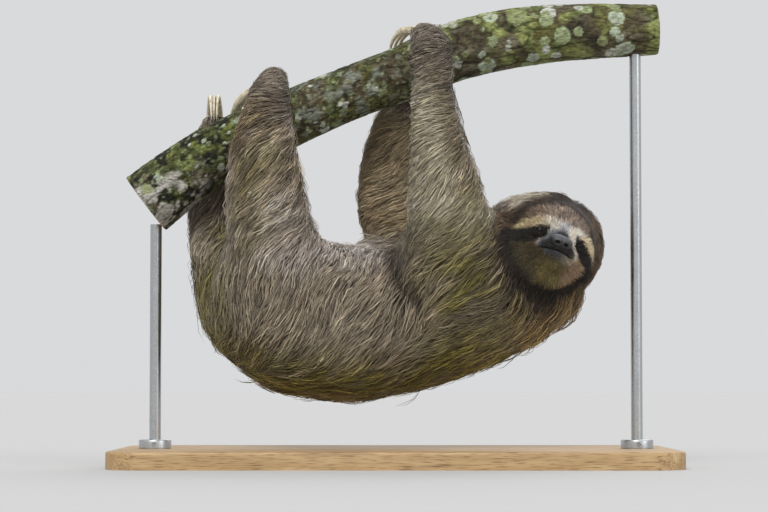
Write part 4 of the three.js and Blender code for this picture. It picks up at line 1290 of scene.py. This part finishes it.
barkColour = np.tile(linear(barkColours["bark"]), (len(x), 1))
lay = brush(barkColour, barkColours)
thick, thin = ease(-120, -160, x), ease(5, 45, x)  # the mossy thick end and the bright thin end
between = (1 - thick) * (1 - thin)
lay(ease(-0.1, 0.5, plates), "barkPale", 0.5)
lay(ease(-0.1, 0.4, barkNoise(34, 16)), "algae", 0.75)
mossy = barkNoise(24, 17) + 0.25 * np.clip(aboveLine / 25, -1, 1)
mossy = ease(0.0, 0.35, mossy + 0.22 + 0.12 * thick - 0.42 * thin - 0.2 * between)
lay(mossy * (0.6 + 0.4 * fineBark), "moss")
lay(ease(0.1, 0.5, barkNoise(9, 18)) * mossy * (0.7 - 0.4 * between), "mossPale")
lay(ease(0.0, 0.3, barkNoise(21, 26)) * thin, "yellowGreen", 0.75)
lay(ease(0.05, 0.35, barkNoise(26, 27)) * thin, "barkDark", 0.5)
lay(ease(0.05, 0.4, barkNoise(6, 19)) * (0.6 - 0.35 * thin), "barkDark")
lay(ease(0.2, 0.45, barkNoise(3.4, 22)) * (0.7 - 0.4 * thin), "barkDark")
lay(ease(0.08, 0.35, barkNoise(15, 28)) * thick, "soot", 0.92)
lay(ease(0.0, 0.3, barkNoise(13, 29) + 0.3 * fineBark) * between, "greyLichen", 0.7)
lay(ease(0.24, 0.42, barkNoise(4.2, 23) + 0.15 * barkNoise(60, 24)) * (0.5 - 0.4 * thin), "lichen1")
endCrust = ease(-185, -212, x) * ease(10, -6, aboveLine + 6 * broadBark)
lay(ease(-0.05, 0.3, barkNoise(13, 30) + 0.5 * fineBark) * endCrust, "crustWhite", 0.8)
lay(cracks, "barkDark", 0.8)
for kind in range(4):
    lay(lichen * (lichenKind == kind) * (0.82 + 0.18 * lichenRim), f"lichen{kind}")
lay(lichen * (1 - lichenRim) * ease(0.0, 0.4, fineBark), "barkPale", 0.4)
rings = np.hypot(y, aboveLine) * 2 * math.pi / perchShape["ringWidth"] + 1.5 * barkNoise(20, 20)
lay(sawn, "wood")
lay(sawn * (0.5 + 0.5 * np.sin(rings)), "woodDark", 0.55)
addAttribute(branch.data, "barkColour", opaque(np.clip(barkColour, 0, 1)))
addAttribute(branch.data, "sawn", sawn)
activate(branch)
bpy.ops.object.shade_smooth()

# Weathered bark: corky and matt, with crusts of lichen; the sawn ends are drier and smoother.
barkMaterial, tree = newMaterial("mossyBark")
colour = addNode(tree, "Attribute", attribute_name="barkColour").outputs["Color"]
cut = addNode(tree, "Attribute", attribute_name="sawn").outputs["Fac"]
place = addNode(tree, "TexCoord").outputs["Object"]
stretched = addNode(tree, "Mapping", {"Vector": place, "Scale": (0.4, 1.0, 1.0)})
cork = addNode(tree, "TexNoise", {"Vector": stretched, "Scale": 420.0, "Detail": 6.0, "Roughness": 0.65})
crust = addNode(tree, "TexVoronoi", {"Vector": place, "Scale": 620.0})
corky = addNode(tree, "ValToRGB", {"Fac": cork}, [(0.3, "#5b574e"), (0.5, "#cfccc4"), (0.66, "#ffffff")])
amount = addNode(tree, "MapRange", {"Value": cut, "To Min": 0.9, "To Max": 0.25})
coloured = addNode(tree, "Mix", {0: amount, 6: colour, 7: corky}, data_type="RGBA", blend_type="MULTIPLY")
rough = addNode(tree, "MapRange", {"Value": cut, "To Min": 0.92, "To Max": 0.68})
bump = addNode(tree, "Bump", {"Height": cork, "Strength": 0.9, "Distance": 0.0016})
bump = addNode(tree, "Bump", {"Height": crust, "Strength": 0.3, "Distance": 0.0006, "Normal": bump})
looks = {"Base Color": coloured.outputs[2], "Roughness": rough, "Normal": bump, "Specular IOR Level": 0.25}
shader = addNode(tree, "BsdfPrincipled", looks)
addNode(tree, "OutputMaterial", {"Surface": shader})
finishPiece(branch, barkMaterial, ["perch_branch"])
print("branch shaped:", len(branch.data.polygons), "faces")

# ---- stand: oak base, steel rods and their collars ----

standShape = {
    "cornerRadius": 36,
    "edgeRound": 2.5,
    "collarRound": 1.6,
    "rodSides": 64,
    "screwRadius": 2.1,
    "socketDepth": 1.3,
}


def settle(name):  # names the new object and leaves it at the origin, with its place in its mesh
    bpy.ops.object.transform_apply(location=True, rotation=True, scale=True)
    return named(bpy.context.object, name)


def cylinderIn(node, name):  # an upright cylinder that fills a CAD node's box
    low, high = (np.array(corner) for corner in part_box(node))
    bpy.ops.mesh.primitive_cylinder_add(
        vertices=standShape["rodSides"],
        radius=(high[0] - low[0]) / 2,
        depth=high[2] - low[2],
        location=(low + high) / 2,
    )
    return settle(name)


def heightsOfEdges(piece):
    return pointsOf(piece)[edgesOf(piece)][:, :, 2]


def bevel(piece, chosen, offset, segments):
    bpy.context.tool_settings.mesh_select_mode = (False, True, False)  # edges, so that no others join in
    pick(piece, "EDGE", chosen)
    bpy.ops.mesh.bevel(offset=offset * mm, segments=segments, affect="EDGES")
    setMode("OBJECT")


def bevelTop(piece, offset):
    heights = heightsOfEdges(piece)
    bevel(piece, heights.min(1) > heights.max() - 1e-4, offset, 4)


def finishStand(piece, material, nodes=()):
    activate(piece)
    bpy.ops.object.shade_smooth_by_angle(angle=math.radians(32))
    finishPiece(piece, material, nodes)


# Oiled oak: open grain along the board, pores 0.3 mm wide, low satin.
oakMaterial, tree = newMaterial("oiledOak")
place = addNode(tree, "TexCoord").outputs["Object"]
board = addNode(tree, "Mapping", {"Vector": place, "Scale": (1.0, 9.0, 9.0)})
figure = addNode(tree, "TexNoise", {"Vector": board, "Scale": 4.5, "Detail": 5.0, "Distortion": 0.6})
oakStops = [(0.3, "#8f7350"), (0.45, "#b2946a"), (0.56, "#a3855c"), (0.72, "#c3a87e")]
figured = addNode(tree, "ValToRGB", {"Fac": figure}, oakStops)
lines = addNode(tree, "Mapping", {"Vector": place, "Scale": (0.06, 1.0, 1.0)})
pores = addNode(tree, "TexNoise", {"Vector": lines, "Scale": 900.0, "Detail": 3.0})
pored = addNode(tree, "ValToRGB", {"Fac": pores}, [(0.32, "#9c8a70"), (0.5, "#ffffff")])
coloured = addNode(tree, "Mix", {0: 0.8, 6: figured, 7: pored}, data_type="RGBA", blend_type="MULTIPLY")
rough = addNode(tree, "MapRange", {"Value": pores, "To Min": 0.58, "To Max": 0.42})
bump = addNode(tree, "Bump", {"Height": pores, "Strength": 0.25, "Distance": 0.0003})
looks = {"Base Color": coloured.outputs[2], "Roughness": rough, "Normal": bump, "Specular IOR Level": 0.4}
shader = addNode(tree, "BsdfPrincipled", looks)
addNode(tree, "OutputMaterial", {"Surface": shader})

# Brushed stainless steel: fine lines round the rod, soft highlights.
steelMaterial, tree = newMaterial("brushedSteel")
place = addNode(tree, "TexCoord").outputs["Object"]
lines = addNode(tree, "Mapping", {"Vector": place, "Scale": (0.15, 0.15, 1.0)})
brushing = addNode(tree, "TexNoise", {"Vector": lines, "Scale": 2600.0, "Detail": 2.0})
brushed = addNode(tree, "ValToRGB", {"Fac": brushing}, [(0.3, "#a3a6a8"), (0.7, "#c6c8c9")])
smudges = addNode(tree, "TexNoise", {"Vector": place, "Scale": 40.0, "Detail": 3.0})
spans = {"From Min": 0.3, "From Max": 0.7, "To Min": 0.26, "To Max": 0.4}
rough = addNode(tree, "MapRange", {"Value": smudges} | spans)
bump = addNode(tree, "Bump", {"Height": brushing, "Strength": 0.15, "Distance": 0.0001})
looks = {"Base Color": brushed, "Roughness": rough, "Normal": bump, "Metallic": 1.0}
shader = addNode(tree, "BsdfPrincipled", looks)
addNode(tree, "OutputMaterial", {"Surface": shader})

low, high = (np.array(corner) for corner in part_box("stand_base"))
bpy.ops.mesh.primitive_cube_add(size=1, location=(low + high) / 2, scale=high - low)
base = settle("oak_base")
bevel(base, np.ptp(heightsOfEdges(base), axis=1) > 0.01, standShape["cornerRadius"], 14)
bevelTop(base, standShape["edgeRound"])
finishStand(base, oakMaterial, ["stand_base"])

for side in ("left", "right"):
    rod = cylinderIn("stand_rod_" + side, "steel_rod_" + side)
    finishStand(rod, steelMaterial, ["stand_rod_" + side])
    collar = cylinderIn("stand_collar_" + side, "steel_collar_" + side)
    bevelTop(collar, standShape["collarRound"])
    finishStand(collar, steelMaterial, ["stand_collar_" + side])
    low, high = (np.array(corner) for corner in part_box("stand_collar_" + side))
    place = ((low[0] + high[0]) / 2, low[1] - 0.2 * mm, (low[2] + high[2]) / 2)
    bpy.ops.mesh.primitive_cylinder_add(
        vertices=24,
        radius=standShape["screwRadius"] * mm,
        depth=2.4 * mm,
        location=place,
        rotation=(math.pi / 2, 0, 0),
    )
    screw = settle("set_screw_" + side)
    faceY = read(screw.data.polygons, "center", 3)[:, 1]
    pick(screw, "FACE", faceY < faceY.min() + 1e-4)
    bpy.ops.mesh.inset(thickness=0.9 * mm)
    bpy.ops.transform.translate(value=(0, standShape["socketDepth"] * mm, 0))
    setMode("OBJECT")
    finishStand(screw, steelMaterial)
print("stand made")

# ---- floor, light and camera ----

studio = {
    "floorSize": 60,
    "sky": 0.78,
    "softness": 32,  # degrees that each lamp spans
    "lamps": {  # strength and place
        "key": (2.2, (-0.5, -1.9, 2.0)),
        "fill": (0.6, (1.9, -1.5, 0.9)),
        "rim": (0.8, (0.5, 1.7, 1.9)),
    },
}
view = {"target": (-11.6, 0, 219.5), "distance": 2600, "rise": 3, "lens": 116.07}

bpy.ops.mesh.primitive_plane_add(size=studio["floorSize"])
floor = named(bpy.context.object, "floor")
floorMaterial, tree = newMaterial("paleFloor")
matte = {"Base Color": "#b6b6b5", "Roughness": 0.9, "Specular IOR Level": 0.1}
shader = addNode(tree, "BsdfPrincipled", matte)
addNode(tree, "OutputMaterial", {"Surface": shader})
floor.data.materials.append(floorMaterial)

world = bpy.data.worlds.new("softSky")
bpy.context.scene.world = world
world.use_nodes = True
sky = world.node_tree.nodes["Background"]
sky.inputs["Color"].default_value = linear("#f2f3f5") + [1.0]
sky.inputs["Strength"].default_value = studio["sky"]
bpy.context.scene.view_settings.view_transform = "Standard"

for name, (strength, place) in studio["lamps"].items():
    lamp = bpy.data.objects.new(name, bpy.data.lights.new(name, "SUN"))
    lamp.data.energy = strength
    lamp.data.angle = math.radians(studio["softness"])
    lamp.location = place
    lamp.rotation_euler = (-Vector(place)).to_track_quat("-Z", "Y").to_euler()
    bpy.context.scene.collection.objects.link(lamp)

cameraData = bpy.data.cameras.new("camera")
cameraData.lens = view["lens"]
cameraData.sensor_width = 36
camera = bpy.data.objects.new("camera", cameraData)
bpy.context.scene.collection.objects.link(camera)
rise = math.radians(view["rise"])
away = Vector((0, -math.cos(rise), -math.sin(rise))) * view["distance"]
camera.location = (Vector(view["target"]) + away) * mm
camera.rotation_euler = (math.pi / 2 + rise, 0, 0)
bpy.context.scene.camera = camera
print("floor, light and camera placed")
